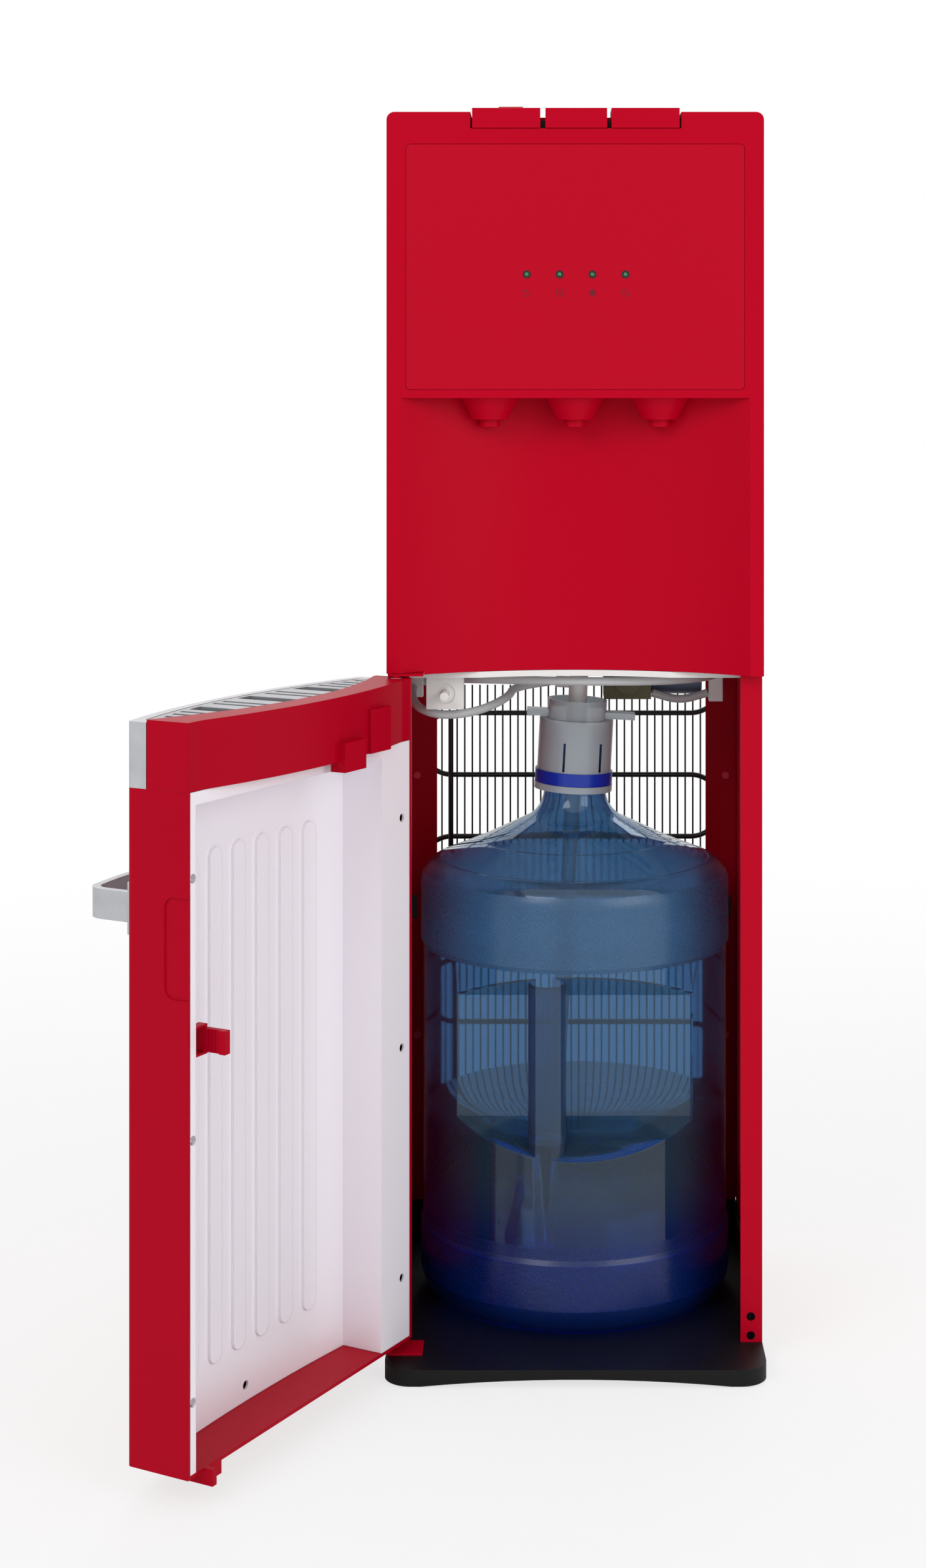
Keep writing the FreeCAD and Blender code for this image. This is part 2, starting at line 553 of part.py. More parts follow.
def arched(half, low, high, radius):
    """Give the outline of an upright rectangle whose two upper corners are rounded."""
    far = f"({radius})*(1 - cos(45))"
    return [
        (half, low),
        (half, f"{high} - {radius}"),
        (f"{half} - {radius}", high, f"{half} - {far}", f"{high} - {far}"),
        (f"{radius} - {half}", high),
        (f"-{half}", f"{high} - {radius}", f"{far} - {half}", f"{high} - {far}"),
        (f"-{half}", low),
    ]


def route(points, bend=None):
    """Join points by straight runs and tangent arcs. Without a bend each arc is as large as its runs allow."""
    edges, start = [], points[0]
    for before, corner, after in zip(points, points[1:], points[2:]):
        back, ahead = before - corner, after - corner
        half_turn = (math.pi - back.getAngle(ahead)) / 2
        reach = bend * math.tan(half_turn) if bend else ARC_SHARE * min(back.Length, ahead.Length)
        radius = reach / math.tan(half_turn)
        inward = (back.normalize() + ahead.normalize()).normalize()
        middle = corner + inward * (radius / math.cos(half_turn) - radius)
        first, last = corner + back * reach, corner + ahead * reach
        edges.append(Part.LineSegment(start, first).toShape())
        edges.append(Part.Arc(first, middle, last).toShape())
        start = last
    edges.append(Part.LineSegment(start, points[-1]).toShape())
    return Part.Wire(edges)


ARC_SHARE = 0.45


def tube(name, points, radius, bend=None):
    """Sweep a round section along a route and compare its volume with section times length."""
    spine = route(points, bend)
    section = Part.Wire(Part.makeCircle(radius, points[0], points[1] - points[0]))
    item = doc.addObject("Part::Feature", name)
    item.Shape = spine.makePipeShell([section], True, False)
    expected = math.pi * radius**2 * spine.Length
    print(f"{name}: length {spine.Length:.0f}, volume {item.Shape.Volume / expected:.4f} of section by length")
    return item


def make_base():
    """The black base with its rims and rubber feet."""
    plate = prism(
        "base_plate",
        rounded(f"-{HALF}", HALF, "-base_depth/2", "base_depth/2", "base_corner"),
        "skirt_gap",
        "floor_height",
    )
    inner = f"({HALF} - base_skirt)"
    depth = "(base_depth/2 - base_skirt)"
    hollow = prism(
        "base_hollow",
        rounded(f"-{inner}", inner, f"-{depth}", depth, "(base_corner - base_skirt)"),
        "0",
        "floor_height - base_floor",
    )
    arch_radius = "((arch_span*arch_span/4 + arch_rise*arch_rise)/(2*arch_rise))"
    arch = rod(
        "base_arch",
        arch_radius,
        "base_depth + 2*base_skirt",
        y="-base_depth/2 - base_skirt",
        z=f"skirt_gap + arch_rise - {arch_radius}",
        axis="y",
    )
    rear = f"({REAR} - sheet_wall - gap)"
    rise = ("floor_height", "rim_height")
    side_run = ("rim_front - front_reach", rear)
    rims = [
        block("rim_left", (f"-{INSIDE}", f"base_skirt - {INSIDE}"), side_run, rise),
        block("rim_right", (f"{INSIDE} - base_skirt", INSIDE), side_run, rise),
        block("rim_rear", (f"-{INSIDE}", INSIDE), (f"{rear} - base_skirt", rear), rise),
    ]
    piece(cut("base_tray_solid", fuse("base_shape", plate, *rims), hollow, arch), "base_tray")
    feet = [
        rod(
            f"foot_{number}",
            "foot_radius",
            "floor_height - base_floor",
            f"{side}*({HALF} - foot_inset)",
            f"{end}*(base_depth/2 - foot_inset)",
        )
        for number, (side, end) in enumerate(((-1, -1), (1, -1), (-1, 1), (1, 1), (0, 0)))
    ]
    piece(fuse("feet", *feet), "base_feet")


def make_sides():
    """The two folded steel sides, with a front flange and two holes low in it."""
    for side, node in ((-1, "left_side_panel"), (1, "right_side_panel")):
        folded = prism(
            f"{node}_sheet",
            [
                (f"{side}*({HALF})", FLANGE),
                (f"{side}*({HALF})", REAR),
                (f"{side}*({HALF} - sheet_wall)", REAR),
                (f"{side}*({HALF} - sheet_wall)", f"{FLANGE} + sheet_wall"),
                (f"{side}*({HALF} - flange_width)", f"{FLANGE} + sheet_wall"),
                (f"{side}*({HALF} - flange_width)", FLANGE),
            ],
            "floor_height",
            DECK_SIDE,
        )
        holes = [
            rod(
                f"{node}_{height}",
                "flange_hole",
                "3*sheet_wall",
                f"{side}*flange_hole_side",
                f"{FLANGE} - sheet_wall",
                height,
                "y",
            )
            for height in ("flange_hole_low", "flange_hole_high")
        ]
        piece(cut(f"{node}_cut", folded, *holes), node)


def make_rear():
    """The rear panel with its window, the cover above it and the screws that hold them."""
    across = (f"-{INSIDE}", INSIDE)
    sheet_depth = (f"{REAR} - sheet_wall", REAR)
    through = (f"{REAR} - 2*sheet_wall", f"{REAR} + sheet_wall")
    lower = block("rear_sheet", across, sheet_depth, ("floor_height", "shelf_height"))
    openings = [block("rear_window", ("-window_half", "window_half"), through, ("window_low", "window_high"))]
    for side in (-1, 1):
        middle = f"{side}*slot_side"
        limits = (f"{middle} - slot_width/2", f"{middle} + slot_width/2")
        openings.append(block(f"rear_slot_{side + 1}", limits, through, ("slot_low", "slot_low + slot_height")))
    piece(cut("rear_cut", lower, *openings), "rear_panel")
    boxes = []
    for number, middle in enumerate(SWITCH_PLACES):
        half_x, half_z = "(switch_width/2)", "(switch_tall/2)"
        deep = (f"{REAR} - sheet_wall - 16", f"{REAR} - sheet_wall")
        outer = block(
            f"switch_box_{number}",
            (f"{middle} - {half_x} - 1.5", f"{middle} + {half_x} + 1.5"),
            deep,
            (f"switch_height - {half_z} - 1.5", f"switch_height + {half_z} + 1.5"),
        )
        inner = block(
            f"switch_room_{number}",
            (f"{middle} - {half_x}", f"{middle} + {half_x}"),
            (f"{deep[0]} + 2", deep[1]),
            (f"switch_height - {half_z}", f"switch_height + {half_z}"),
        )
        boxes.append(cut(f"switch_shell_{number}", outer, inner))
    sheet_upper = block("upper_sheet", across, sheet_depth, ("shelf_height", DECK_SIDE))
    upper = fuse("upper_shape", sheet_upper, *boxes)
    cuts = []
    for column in (-1, 1):
        for step in range(VENT_ROWS):
            middle = f"{column}*vent_side"
            low = f"vent_low + {step}*vent_pitch"
            limits = (f"{middle} - vent_length/2", f"{middle} + vent_length/2")
            cuts.append(block(f"vent_{column + 1}_{step}", limits, through, (low, f"{low} + vent_height")))
    for number, middle in enumerate(SWITCH_PLACES):
        limits = (f"{middle} - switch_width/2", f"{middle} + switch_width/2")
        tall = ("switch_height - switch_tall/2", "switch_height + switch_tall/2")
        cuts.append(block(f"switch_hole_{number}", limits, through, tall))
    cuts.append(rod("drain_hole", "drain_neck + gap", "3*sheet_wall", "drain_side", through[0], "drain_height", "y"))
    cuts.append(rod("inlet_hole", "inlet_tall/4", "3*sheet_wall", "0", through[0], "inlet_height", "y"))
    piece(cut("upper_cut", upper, *cuts), "upper_rear_cover")
    heads = []
    heights = ("screw_lower", "screw_upper", "inlet_height", "vent_low - 3*vent_pitch", f"{DECK_SIDE} - 12")
    for side in (-1, 1):
        for number, height in enumerate(heights):
            name = f"panel_screw_{side + 1}_{number}"
            heads.append(rod(name, "screw_radius", "screw_proud", f"{side}*screw_side", REAR, height, "y"))
    for side in (-1, 1):
        for height in ("screw_lower", "screw_upper"):
            name = f"inner_screw_{side + 1}_{height}"
            start = f"{REAR} - sheet_wall - screw_proud"
            heads.append(rod(name, "screw_radius", "screw_proud", f"{side}*screw_side", start, height, "y"))
    piece(fuse("screw_heads", *heads), "panel_screws")


VENT_ROWS = 14
SWITCH_PLACES = ("(switch_side - switch_pitch/2)", "(switch_side + switch_pitch/2)")


def make_rear_fittings():
    """The rocker switches with their boxes, the drain with its cap and the plate where the lead enters."""
    for node, middle in zip(("hot_power_switch", "cold_power_switch"), SWITCH_PLACES):
        heel = f"({REAR} - rocker_radius + 3.5)"
        lower, upper = "switch_height - rocker_radius*2/3", "switch_height + rocker_radius*2/3"
        rocker = prism(
            f"{node}_rocker",
            [
                (heel, "switch_height - rocker_radius/2"),
                (f"{REAR} + rocker_radius/10", lower),
                (f"{REAR} + rocker_radius/10", "switch_height"),
                (f"{REAR} + rocker_radius/10 + rocker_radius*2/3*tan(2*rocker_tilt)", upper),
                (heel, "switch_height + rocker_radius/2"),
            ],
            f"{middle} - switch_width/2 + 2*gap",
            f"{middle} + switch_width/2 - 2*gap",
            "YZ_Plane",
        )
        pin = rod(
            f"{node}_pin",
            "rocker_pin",
            "switch_width - 2*gap",
            f"{middle} - switch_width/2 + gap",
            f"{REAR} - 2*rocker_pin",
            "switch_height",
            "x",
        )
        piece(fuse(f"{node}_shape", rocker, pin), node)
    neck_start = f"{REAR} - 14"
    neck = rod("drain_neck_tube", "drain_neck", "20", "drain_side", neck_start, "drain_height", "y")
    collar = rod("drain_collar", "drain_neck + 3", "3", "drain_side", f"{REAR} - sheet_wall - 3", "drain_height", "y")
    bore = rod("drain_bore", "drain_neck - 2", "30", "drain_side", f"{neck_start} - 5", "drain_height", "y")
    piece(cut("drain_cut", fuse("drain_shape", neck, collar), bore), "drain_fitting")
    cap = rod("drain_cap_outer", "drain_radius", "11", "drain_side", f"{REAR} + gap", "drain_height", "y")
    room = rod("drain_cap_room", "drain_neck + 0.06", "8", "drain_side", REAR, "drain_height", "y")
    ribs = [
        rod(
            f"drain_rib_{number}",
            "1.4",
            "9",
            f"drain_side + drain_radius*cos({number}*360/{DRAIN_RIBS})",
            f"{REAR} + gap + 1",
            f"drain_height + drain_radius*sin({number}*360/{DRAIN_RIBS})",
            "y",
        )
        for number in range(DRAIN_RIBS)
    ]
    piece(cut("drain_cap_cut", fuse("drain_cap_shape", cap, *ribs), room), "drain_cap")
    half_x, half_z = "inlet_width/2", "inlet_tall/2"
    plate = block(
        "inlet_plate",
        (f"-{half_x}", half_x),
        (REAR, f"{REAR} + 2.5"),
        (f"inlet_height - {half_z}", f"inlet_height + {half_z}"),
    )
    gland = rod("inlet_gland", "inlet_tall/4", "14", "0", f"{REAR} - 6", "inlet_height", "y")
    way = rod("inlet_way", "inlet_tall/4 - 1.6", "30", "0", f"{REAR} - 10", "inlet_height", "y")
    piece(cut("inlet_cut", fuse("inlet_shape", plate, gland), way), "power_inlet")


DRAIN_RIBS = 12


def light_place(number):
    """Give the x of one indicator light."""
    return f"(light_shift + ({number} - 1.5)*light_pitch)"


def make_front():
    """The upper front housing with its cove, the control panel and the row of lights."""
    outer = prism(
        "housing_outer",
        arched(HALF, "shelf_height", "body_height", "corner_radius"),
        FRONT,
        f"{FLANGE} - gap",
        "XZ_Plane",
    )
    inner = prism(
        "housing_inner",
        arched(
            f"({HALF} - housing_wall)",
            "(shelf_height + housing_wall)",
            "(body_height - housing_wall)",
            "(corner_radius - housing_wall)",
        ),
        f"{FRONT} + housing_wall",
        f"{FLANGE} + housing_wall",
        "XZ_Plane",
    )
    cove_rise = "cove_top + cove_wall - shelf_height"
    wall_rod = rod("cove_outer", f"{COVE_RADIUS} + cove_wall", cove_rise, "0", COVE_CENTRE, "shelf_height")
    wall_reach = block(
        "cove_reach",
        (f"-{HALF}", HALF),
        (FRONT, f"{FRONT} + cove_depth + 2*cove_wall"),
        ("shelf_height", "cove_top + cove_wall"),
    )
    cove = common("cove_shape", wall_rod, wall_reach)
    room = rod(
        "cove_room", COVE_RADIUS, "cove_top - shelf_height + housing_wall", "0", COVE_CENTRE, "shelf_height - housing_wall"
    )
    hinge_room = block(
        "hinge_room",
        (f"{HINGE_X} - hinge_inset - 1", f"{HINGE_X} + plate_reach + gap"),
        (f"{FRONT} - 1", FLANGE),
        ("shelf_height - 1", "shelf_height + bracket_wall + gap"),
    )
    notch = block(
        "button_notch",
        ("hot_left - button_slit", "cold_right + button_slit"),
        (f"{FRONT} - housing_wall", FLANGE),
        ("button_low - gap", "body_height + housing_wall"),
    )
    recess = prism(
        "panel_recess",
        rounded(
            "(-panel_half - gap)",
            "(panel_half + gap)",
            "(panel_low - gap)",
            "(panel_high + gap)",
            "(panel_corner + gap)",
        ),
        f"{FRONT} - panel_wall",
        f"{FRONT} + panel_wall",
        "XZ_Plane",
    )
    holes = [
        rod(
            f"lens_hole_{number}",
            "lens_radius + gap",
            "2*housing_wall",
            light_place(number),
            f"{FRONT} + panel_wall/2",
            "light_height",
            "y",
        )
        for number in range(LIGHTS)
    ]
    stems = [
        rod(f"stem_hole_{number}", "stem_radius + gap", "3*cove_wall", x, NOZZLE_Y, "cove_top - cove_wall")
        for number, x in enumerate(NOZZLE_PLACES)
    ]
    body = cut("housing_shell", outer, inner)
    housing = fuse("housing_joined", body, cove)
    piece(cut("housing_cut", housing, room, hinge_room, notch, recess, *holes, *stems), "front_housing")

    slab = prism(
        "panel_slab",
        rounded("(-panel_half)", "panel_half", "panel_low", "panel_high", "panel_corner"),
        FRONT,
        f"{FRONT} + panel_wall",
        "XZ_Plane",
    )
    ring_holes = [
        rod(
            f"ring_hole_{number}",
            "bezel_radius",
            "3*panel_wall",
            light_place(number),
            f"{FRONT} - panel_wall",
            "light_height",
            "y",
        )
        for number in range(LIGHTS)
    ]
    piece(cut("panel_cut", slab, *ring_holes), "control_panel")

    rings, lenses = [], []
    for number in range(LIGHTS):
        x = light_place(number)
        start = f"{FRONT} - bezel_proud"
        ring = rod(f"ring_{number}", "bezel_radius", "panel_wall + bezel_proud", x, start, "light_height", "y")
        bore = rod(f"ring_bore_{number}", "lens_radius", "3*panel_wall", x, f"{FRONT} - panel_wall", "light_height", "y")
        rings.append(cut(f"ring_cut_{number}", ring, bore))
        length = "housing_wall + board_gap - panel_wall/2"
        stem = rod(f"lens_stem_{number}", "lens_radius", length, x, f"{FRONT} + panel_wall/2", "light_height", "y")
        dome = doc.addObject("Part::Sphere", f"lens_dome_{number}")
        dome.setExpression("Radius", linked("lens_radius"))
        place(dome, x, f"{FRONT} + panel_wall/2", "light_height")
        lenses.append(fuse(f"lens_{number}", stem, dome))
    piece(fuse("rings", *rings), "indicator_bezels")
    piece(fuse("lamps", *lenses), "status_lenses")


LIGHTS = 4
NOZZLE_PLACES = ("-nozzle_pitch", "0", "nozzle_pitch")
SPOUT_NAMES = ("hot_spout", "room_spout", "cold_spout")


def make_spouts():
    """The three funnel nozzles, cut to the cove's wall, with their tubes and valves."""
    waist, tip = "cove_top - funnel_drop", "cove_top - funnel_drop - tip_drop"
    stem_top = "cove_top + cove_wall + stem_rise"
    tubes, valves = [], []
    for number, (x, node) in enumerate(zip(NOZZLE_PLACES, SPOUT_NAMES)):
        funnel = turned(
            f"{node}_funnel",
            [
                ("nozzle_bore", tip),
                ("tip_radius", tip),
                ("tip_radius", waist),
                ("nozzle_waist", waist),
                ("nozzle_mouth", "cove_top"),
                ("stem_radius", "cove_top"),
                ("stem_radius", stem_top),
                ("nozzle_bore", stem_top),
            ],
            x,
            NOZZLE_Y,
        )
        room = rod(f"{node}_room", f"{COVE_RADIUS} - gap", f"{stem_top} - ({tip})", "0", COVE_CENTRE, tip)
        piece(common(f"{node}_shape", funnel, room), node)
        length = f"valve_lift - ({stem_top})"
        sleeve = rod(f"tube_sleeve_{number}", "tube_radius + 1.5", length, x, NOZZLE_Y, stem_top)
        way = rod(f"tube_way_{number}", "nozzle_bore", length, x, NOZZLE_Y, stem_top)
        tubes.append(cut(f"tube_{number}", sleeve, way))
        half = "valve_size/2"
        housing = block(
            f"valve_{number}",
            (f"{x} - {half}", f"{x} + {half}"),
            (f"{NOZZLE_Y} - {half}", f"{NOZZLE_Y} + {half}"),
            ("valve_lift", "valve_lift + valve_size"),
        )
        solenoid = rod(f"solenoid_{number}", "valve_size/3", "valve_size", x, NOZZLE_Y, "valve_lift + valve_size")
        valves.append(fuse(f"valve_body_{number}", housing, solenoid))
    piece(fuse("valves", *valves, *tubes), "dispense_valves")


PIVOT_Y = "(housing_wall + button_pivot + 2*gap - front_reach)"
PIVOT_Z = "(button_low - button_pivot + gap)"
FRAME_TOP = "(button_low - press_room)"
BUTTONS = (
    ("hot_button", "hot_left", "hot_right"),
    ("room_button", "room_left", "room_right"),
    ("cold_button", "cold_left", "cold_right"),
)


def make_buttons():
    """The three press bars on the top edge, their frame with its pivot, the springs and the child lock."""
    for node, left, right in BUTTONS:
        bar = prism(
            f"{node}_bar",
            [
                (BUTTON_FRONT, "button_low"),
                (BUTTON_FRONT, "button_high - button_round"),
                (
                    f"{BUTTON_FRONT} + button_round",
                    "button_high",
                    f"{BUTTON_FRONT} + button_round*(1 - cos(45))",
                    "button_high - button_round*(1 - cos(45))",
                ),
                (BUTTON_REAR, "button_high"),
                (BUTTON_REAR, "button_low"),
            ],
            left,
            right,
            "YZ_Plane",
        )
        hollow = block(
            f"{node}_hollow",
            (f"{left} + button_wall", f"{right} - button_wall"),
            (f"{BUTTON_FRONT} + button_wall", f"{BUTTON_REAR} - button_wall"),
            ("button_low - button_wall", "button_high - button_wall"),
        )
        ears = []
        for end, start in enumerate((left, f"{right} - button_wall")):
            ears.append(
                block(
                    f"{node}_ear_{end}",
                    (start, f"{start} + button_wall"),
                    (f"{PIVOT_Y} - button_pivot", f"{PIVOT_Y} + 2*button_pivot"),
                    (f"{PIVOT_Z} - button_pivot", "button_high - button_round"),
                )
            )
        bore = rod(f"{node}_bore", "button_pivot/2 + pin_play", f"{right} - ({left})", left, PIVOT_Y, PIVOT_Z, "x")
        cuts = [bore]
        if node == "hot_button":
            cuts.append(
                block(
                    "tab_slot",
                    ("tab_left + tab_width/2 - 2.3", "tab_left + tab_width/2 + 2.3"),
                    (f"{BUTTON_FRONT} + tab_setback + 4.5", f"{BUTTON_FRONT} + tab_setback + 10.5 + tab_travel"),
                    ("button_high - 2*button_wall", "button_high + button_wall"),
                )
            )
        shell = cut(f"{node}_shell", bar, hollow)
        piece(cut(f"{node}_cut", fuse(f"{node}_shape", shell, *ears), *cuts), node)

    wide = ("hot_left - button_slit", "cold_right + button_slit")
    back = f"{BUTTON_REAR} + 2*button_slit"
    floor = block(
        "frame_floor",
        (f"{wide[0]} - cover_wall", f"{wide[1]} + cover_wall"),
        (FLANGE, f"{back} + cover_wall"),
        (f"{FRAME_TOP} - cover_wall", FRAME_TOP),
    )
    wall_rise = (FRAME_TOP, "body_height - cover_wall")
    walls = [
        block("frame_rear", (f"{wide[0]} - cover_wall", f"{wide[1]} + cover_wall"), (back, f"{back} + cover_wall"), wall_rise),
        block("frame_left", (f"{wide[0]} - cover_wall", wide[0]), (FLANGE, back), wall_rise),
        block("frame_right", (wide[1], f"{wide[1]} + cover_wall"), (FLANGE, back), wall_rise),
    ]
    shelf = block(
        "frame_shelf",
        wide,
        (f"{FRONT} + housing_wall + gap", FLANGE),
        (f"{FRAME_TOP} - cover_wall", f"{FRAME_TOP} - cover_wall/2"),
    )
    posts = []
    for number, middle in enumerate(("(hot_right + room_left)/2", "(room_right + cold_left)/2")):
        posts.append(
            block(
                f"frame_post_{number}",
                (f"{middle} - 1", f"{middle} + 1"),
                (f"{PIVOT_Y} - button_pivot", f"{FLANGE} + cover_wall"),
                (f"{FRAME_TOP} - cover_wall", f"{PIVOT_Z} + button_pivot"),
            )
        )
    axle = rod("frame_axle", "button_pivot/2", f"{wide[1]} - ({wide[0]})", wide[0], PIVOT_Y, PIVOT_Z, "x")
    end_plates = [
        block(
            f"frame_end_{number}",
            (start, f"{start} + button_slit - gap"),
            (f"{PIVOT_Y} - button_pivot", f"{FLANGE} + cover_wall"),
            (f"{FRAME_TOP} - cover_wall", f"{PIVOT_Z} + button_pivot"),
        )
        for number, start in enumerate((wide[0], f"{wide[1]} - button_slit + gap"))
    ]
    piece(fuse("frame", floor, shelf, *walls, *posts, axle, *end_plates), "button_frame")

    front = f"({BUTTON_FRONT} + tab_setback)"
    middle = "(tab_left + tab_width/2)"
    top = block(
        "tab_top",
        ("tab_left", "tab_left + tab_width"),
        (front, f"{front} + tab_length"),
        ("button_high + gap/2", "button_high + gap/2 + tab_rise"),
    )
    stem = block(
        "tab_stem",
        (f"{middle} - 2", f"{middle} + 2"),
        (f"{front} + 5", f"{front} + 10"),
        ("button_high - button_wall - gap - 1.5", "button_high + gap"),
    )
    heel = block(
        "tab_heel",
        (f"{middle} - 5", f"{middle} + 5"),
        (f"{front} + 3", f"{front} + 12"),
        ("button_high - button_wall - gap - 1.5", "button_high - button_wall - gap"),
    )
    piece(fuse("tab", top, stem, heel), "child_lock_tab")


def make_top():
    """The top cover, open above the buttons."""
    outer = prism("cover_outer", arched(HALF, DECK_SIDE, "body_height", "corner_radius"), FLANGE, REAR, "XZ_Plane")
    inner = prism(
        "cover_inner",
        arched(
            f"({HALF} - cover_wall)",
            f"({DECK_SIDE} - cover_wall)",
            "(body_height - cover_wall)",
            "(corner_radius - cover_wall)",
        ),
        f"{FLANGE} - cover_wall",
        f"{REAR} - cover_wall",
        "XZ_Plane",
    )
    pocket = block(
        "cover_pocket",
        ("hot_left - button_slit", "cold_right + button_slit"),
        (f"{FLANGE} - cover_wall", f"{BUTTON_REAR} + 2*button_slit"),
        (DECK_SIDE, "body_height + cover_wall"),
    )
    piece(cut("cover_cut", outer, inner, pocket), "top_cover")


def make_hinges():
    """The two hinge plates with their pins and the bushes that turn on them inside the door."""
    side = (f"{HINGE_X} - hinge_inset + 2", f"{HINGE_X} + plate_reach")
    lower_plate = block(
        "lower_plate",
        side,
        (f"{HINGE_Y} - plate_half", f"{DOOR_BACK} + gap"),
        ("floor_height", "floor_height + bracket_wall"),
    )
    lower_length = "door_low + pin_long - floor_height"
    lower_pin = rod("lower_pin", "pin_thick", lower_length, HINGE_X, HINGE_Y, "floor_height")
    piece(fuse("lower_shape", lower_plate, lower_pin), "lower_hinge")
    upper_plate = block(
        "upper_plate",
        side,
        (f"{FRONT} + gap", f"{DOOR_BACK} + gap"),
        ("shelf_height", "shelf_height + bracket_wall"),
    )
    upper_low = "cap_high - pin_long"
    upper_length = f"shelf_height + bracket_wall - ({upper_low})"
    upper_pin = rod("upper_pin", "pin_thick", upper_length, HINGE_X, HINGE_Y, upper_low)
    piece(fuse("upper_shape_plate", upper_plate, upper_pin), "upper_hinge")
    bushes = []
    for number, low in enumerate(("door_low", upper_low)):
        sleeve = rod(f"bush_{number}", "pin_thick + pin_play + bush_wall", "pin_long", HINGE_X, HINGE_Y, low)
        way = rod(f"bush_way_{number}", "pin_thick + pin_play", "pin_long", HINGE_X, HINGE_Y, low)
        bushes.append(cut(f"bush_ring_{number}", sleeve, way))
    piece(swing(fuse("bush_pair", *bushes)), "hinge_bushes")


def door_plan(inset, back, corner):
    """Give the door's plan, inset from its sides, with its rear left open to a given depth."""
    side = f"({DOOR_HALF} - {inset})"
    bend = f"({DOOR_HALF} - door_corner)"
    edge = f"({DOOR_EDGE} + {inset})"
    far = f"({corner})*(1 - cos(45))"
    turn = f"({DOOR_EDGE} + door_corner)"
    sweep = f"({DOOR_SWEEP} - {inset})"
    offset = f"({side} + {HINGE_X})"
    return [
        (side, back),
        (side, turn),
        (bend, edge, f"{side} - {far}", f"{edge} + {far}"),
        (f"-{bend}", edge, "0", f"{DOOR_APEX} + {inset}"),
        (f"-{side}", turn, f"{far} - {side}", f"{edge} + {far}"),
        (f"-{side}", f"{HINGE_Y} + sqrt({sweep}*{sweep} - {offset}*{offset})"),
        (
            HINGE_X,
            f"{HINGE_Y} + {sweep}",
            f"{HINGE_X} - {offset}/2",
            f"{HINGE_Y} + sqrt({sweep}*{sweep} - {offset}*{offset}/4)",
        ),
        (HINGE_X, back),
    ]


def make_door_shell():
    """The bowed door shell with its finger groove and the foot under its free end."""
    plan = door_plan("0", DOOR_BACK, "door_corner")[:-1]
    outer = prism("door_outer", plan, "door_low", "cap_low")
    cavity = door_plan("door_wall", f"{DOOR_BACK} + door_wall", "(door_corner - door_wall)")
    inner = prism("door_inner", cavity, "door_low + door_wall", "cap_low + door_wall")
    groove = prism(
        "finger_groove",
        rounded(
            f"({DOOR_BACK} - grip_width)", f"({DOOR_BACK} + grip_width)", "grip_low", "grip_high", "2*door_corner"
        ),
        f"{DOOR_HALF} - grip_sink",
        f"{DOOR_HALF} + grip_sink",
        "YZ_Plane",
    )
    bush_room = rod(
        "bush_room", "pin_thick + pin_play + bush_wall + gap", "2*door_wall", HINGE_X, HINGE_Y, "door_low - door_wall"
    )
    shell = cut("door_shell_cut", outer, inner, groove, bush_room)
    right = f"({HALF} - flange_width - 1)"
    sole = block(
        "door_sole",
        (f"{right} - sole_length", right),
        (f"{DOOR_BACK} - sole_front", DOOR_BACK),
        ("sole_low", "door_low"),
    )
    toe = block(
        "door_toe",
        (f"{right} - toe_width", right),
        (f"{DOOR_BACK} - toe_width", f"{DOOR_BACK} + toe_reach"),
        ("sole_low", "sole_low + toe_height"),
    )
    notch = block(
        "toe_notch",
        (f"{right} - toe_width - gap", f"{right} + gap"),
        (f"{DOOR_BACK} - toe_width", f"{DOOR_BACK} + gap"),
        ("door_low + door_wall", "sole_low + toe_height + gap"),
    )
    foot = cut("door_foot_shape", fuse("door_foot_parts", sole, toe), notch)
    piece(swing(fuse("door_shell_shape", shell, foot)), "door_shell")


BOUND_RADIUS = (
    f"((({DOOR_HALF} - door_corner)*({DOOR_HALF} - door_corner) + grille_back*grille_back)/(2*grille_back))"
)
BOUND_CENTRE = f"({FASCIA_BACK} + grille_back - {BOUND_RADIUS})"


def basin(inset, rear):
    """Give the plan of the basin in the door's top, inset by a distance, with its rear edge as given."""
    side = f"({DOOR_HALF} - grille_end - {inset})"
    front = f"({DOOR_EDGE} + grille_rim + {inset})"
    reach = f"({BOUND_RADIUS} + {rear})"
    back = f"({BOUND_CENTRE} + sqrt({reach}*{reach} - {side}*{side}))"
    return [
        (side, front),
        (f"-{side}", front, "0", f"{DOOR_APEX} + grille_rim + {inset}"),
        (f"-{side}", back),
        (side, back, "0", f"{BOUND_CENTRE} + {reach}"),
    ]


def bounded(inset, back_shift):
    """Give the plan of everything in front of the silver band's rear edge."""
    plan = door_plan(inset, FASCIA_BACK, f"(door_corner - {inset})")[:5]
    plan[0] = (plan[0][0], f"{FASCIA_BACK} + {back_shift}")
    bend = f"({DOOR_HALF} - door_corner)"
    return plan + [
        (f"{inset} - {DOOR_HALF}", f"{FASCIA_BACK} + {back_shift}"),
        (f"-{bend}", f"{FASCIA_BACK} + {back_shift}"),
        (bend, f"{FASCIA_BACK} + {back_shift}", "0", f"{FASCIA_BACK} + grille_back + {back_shift}"),
    ]


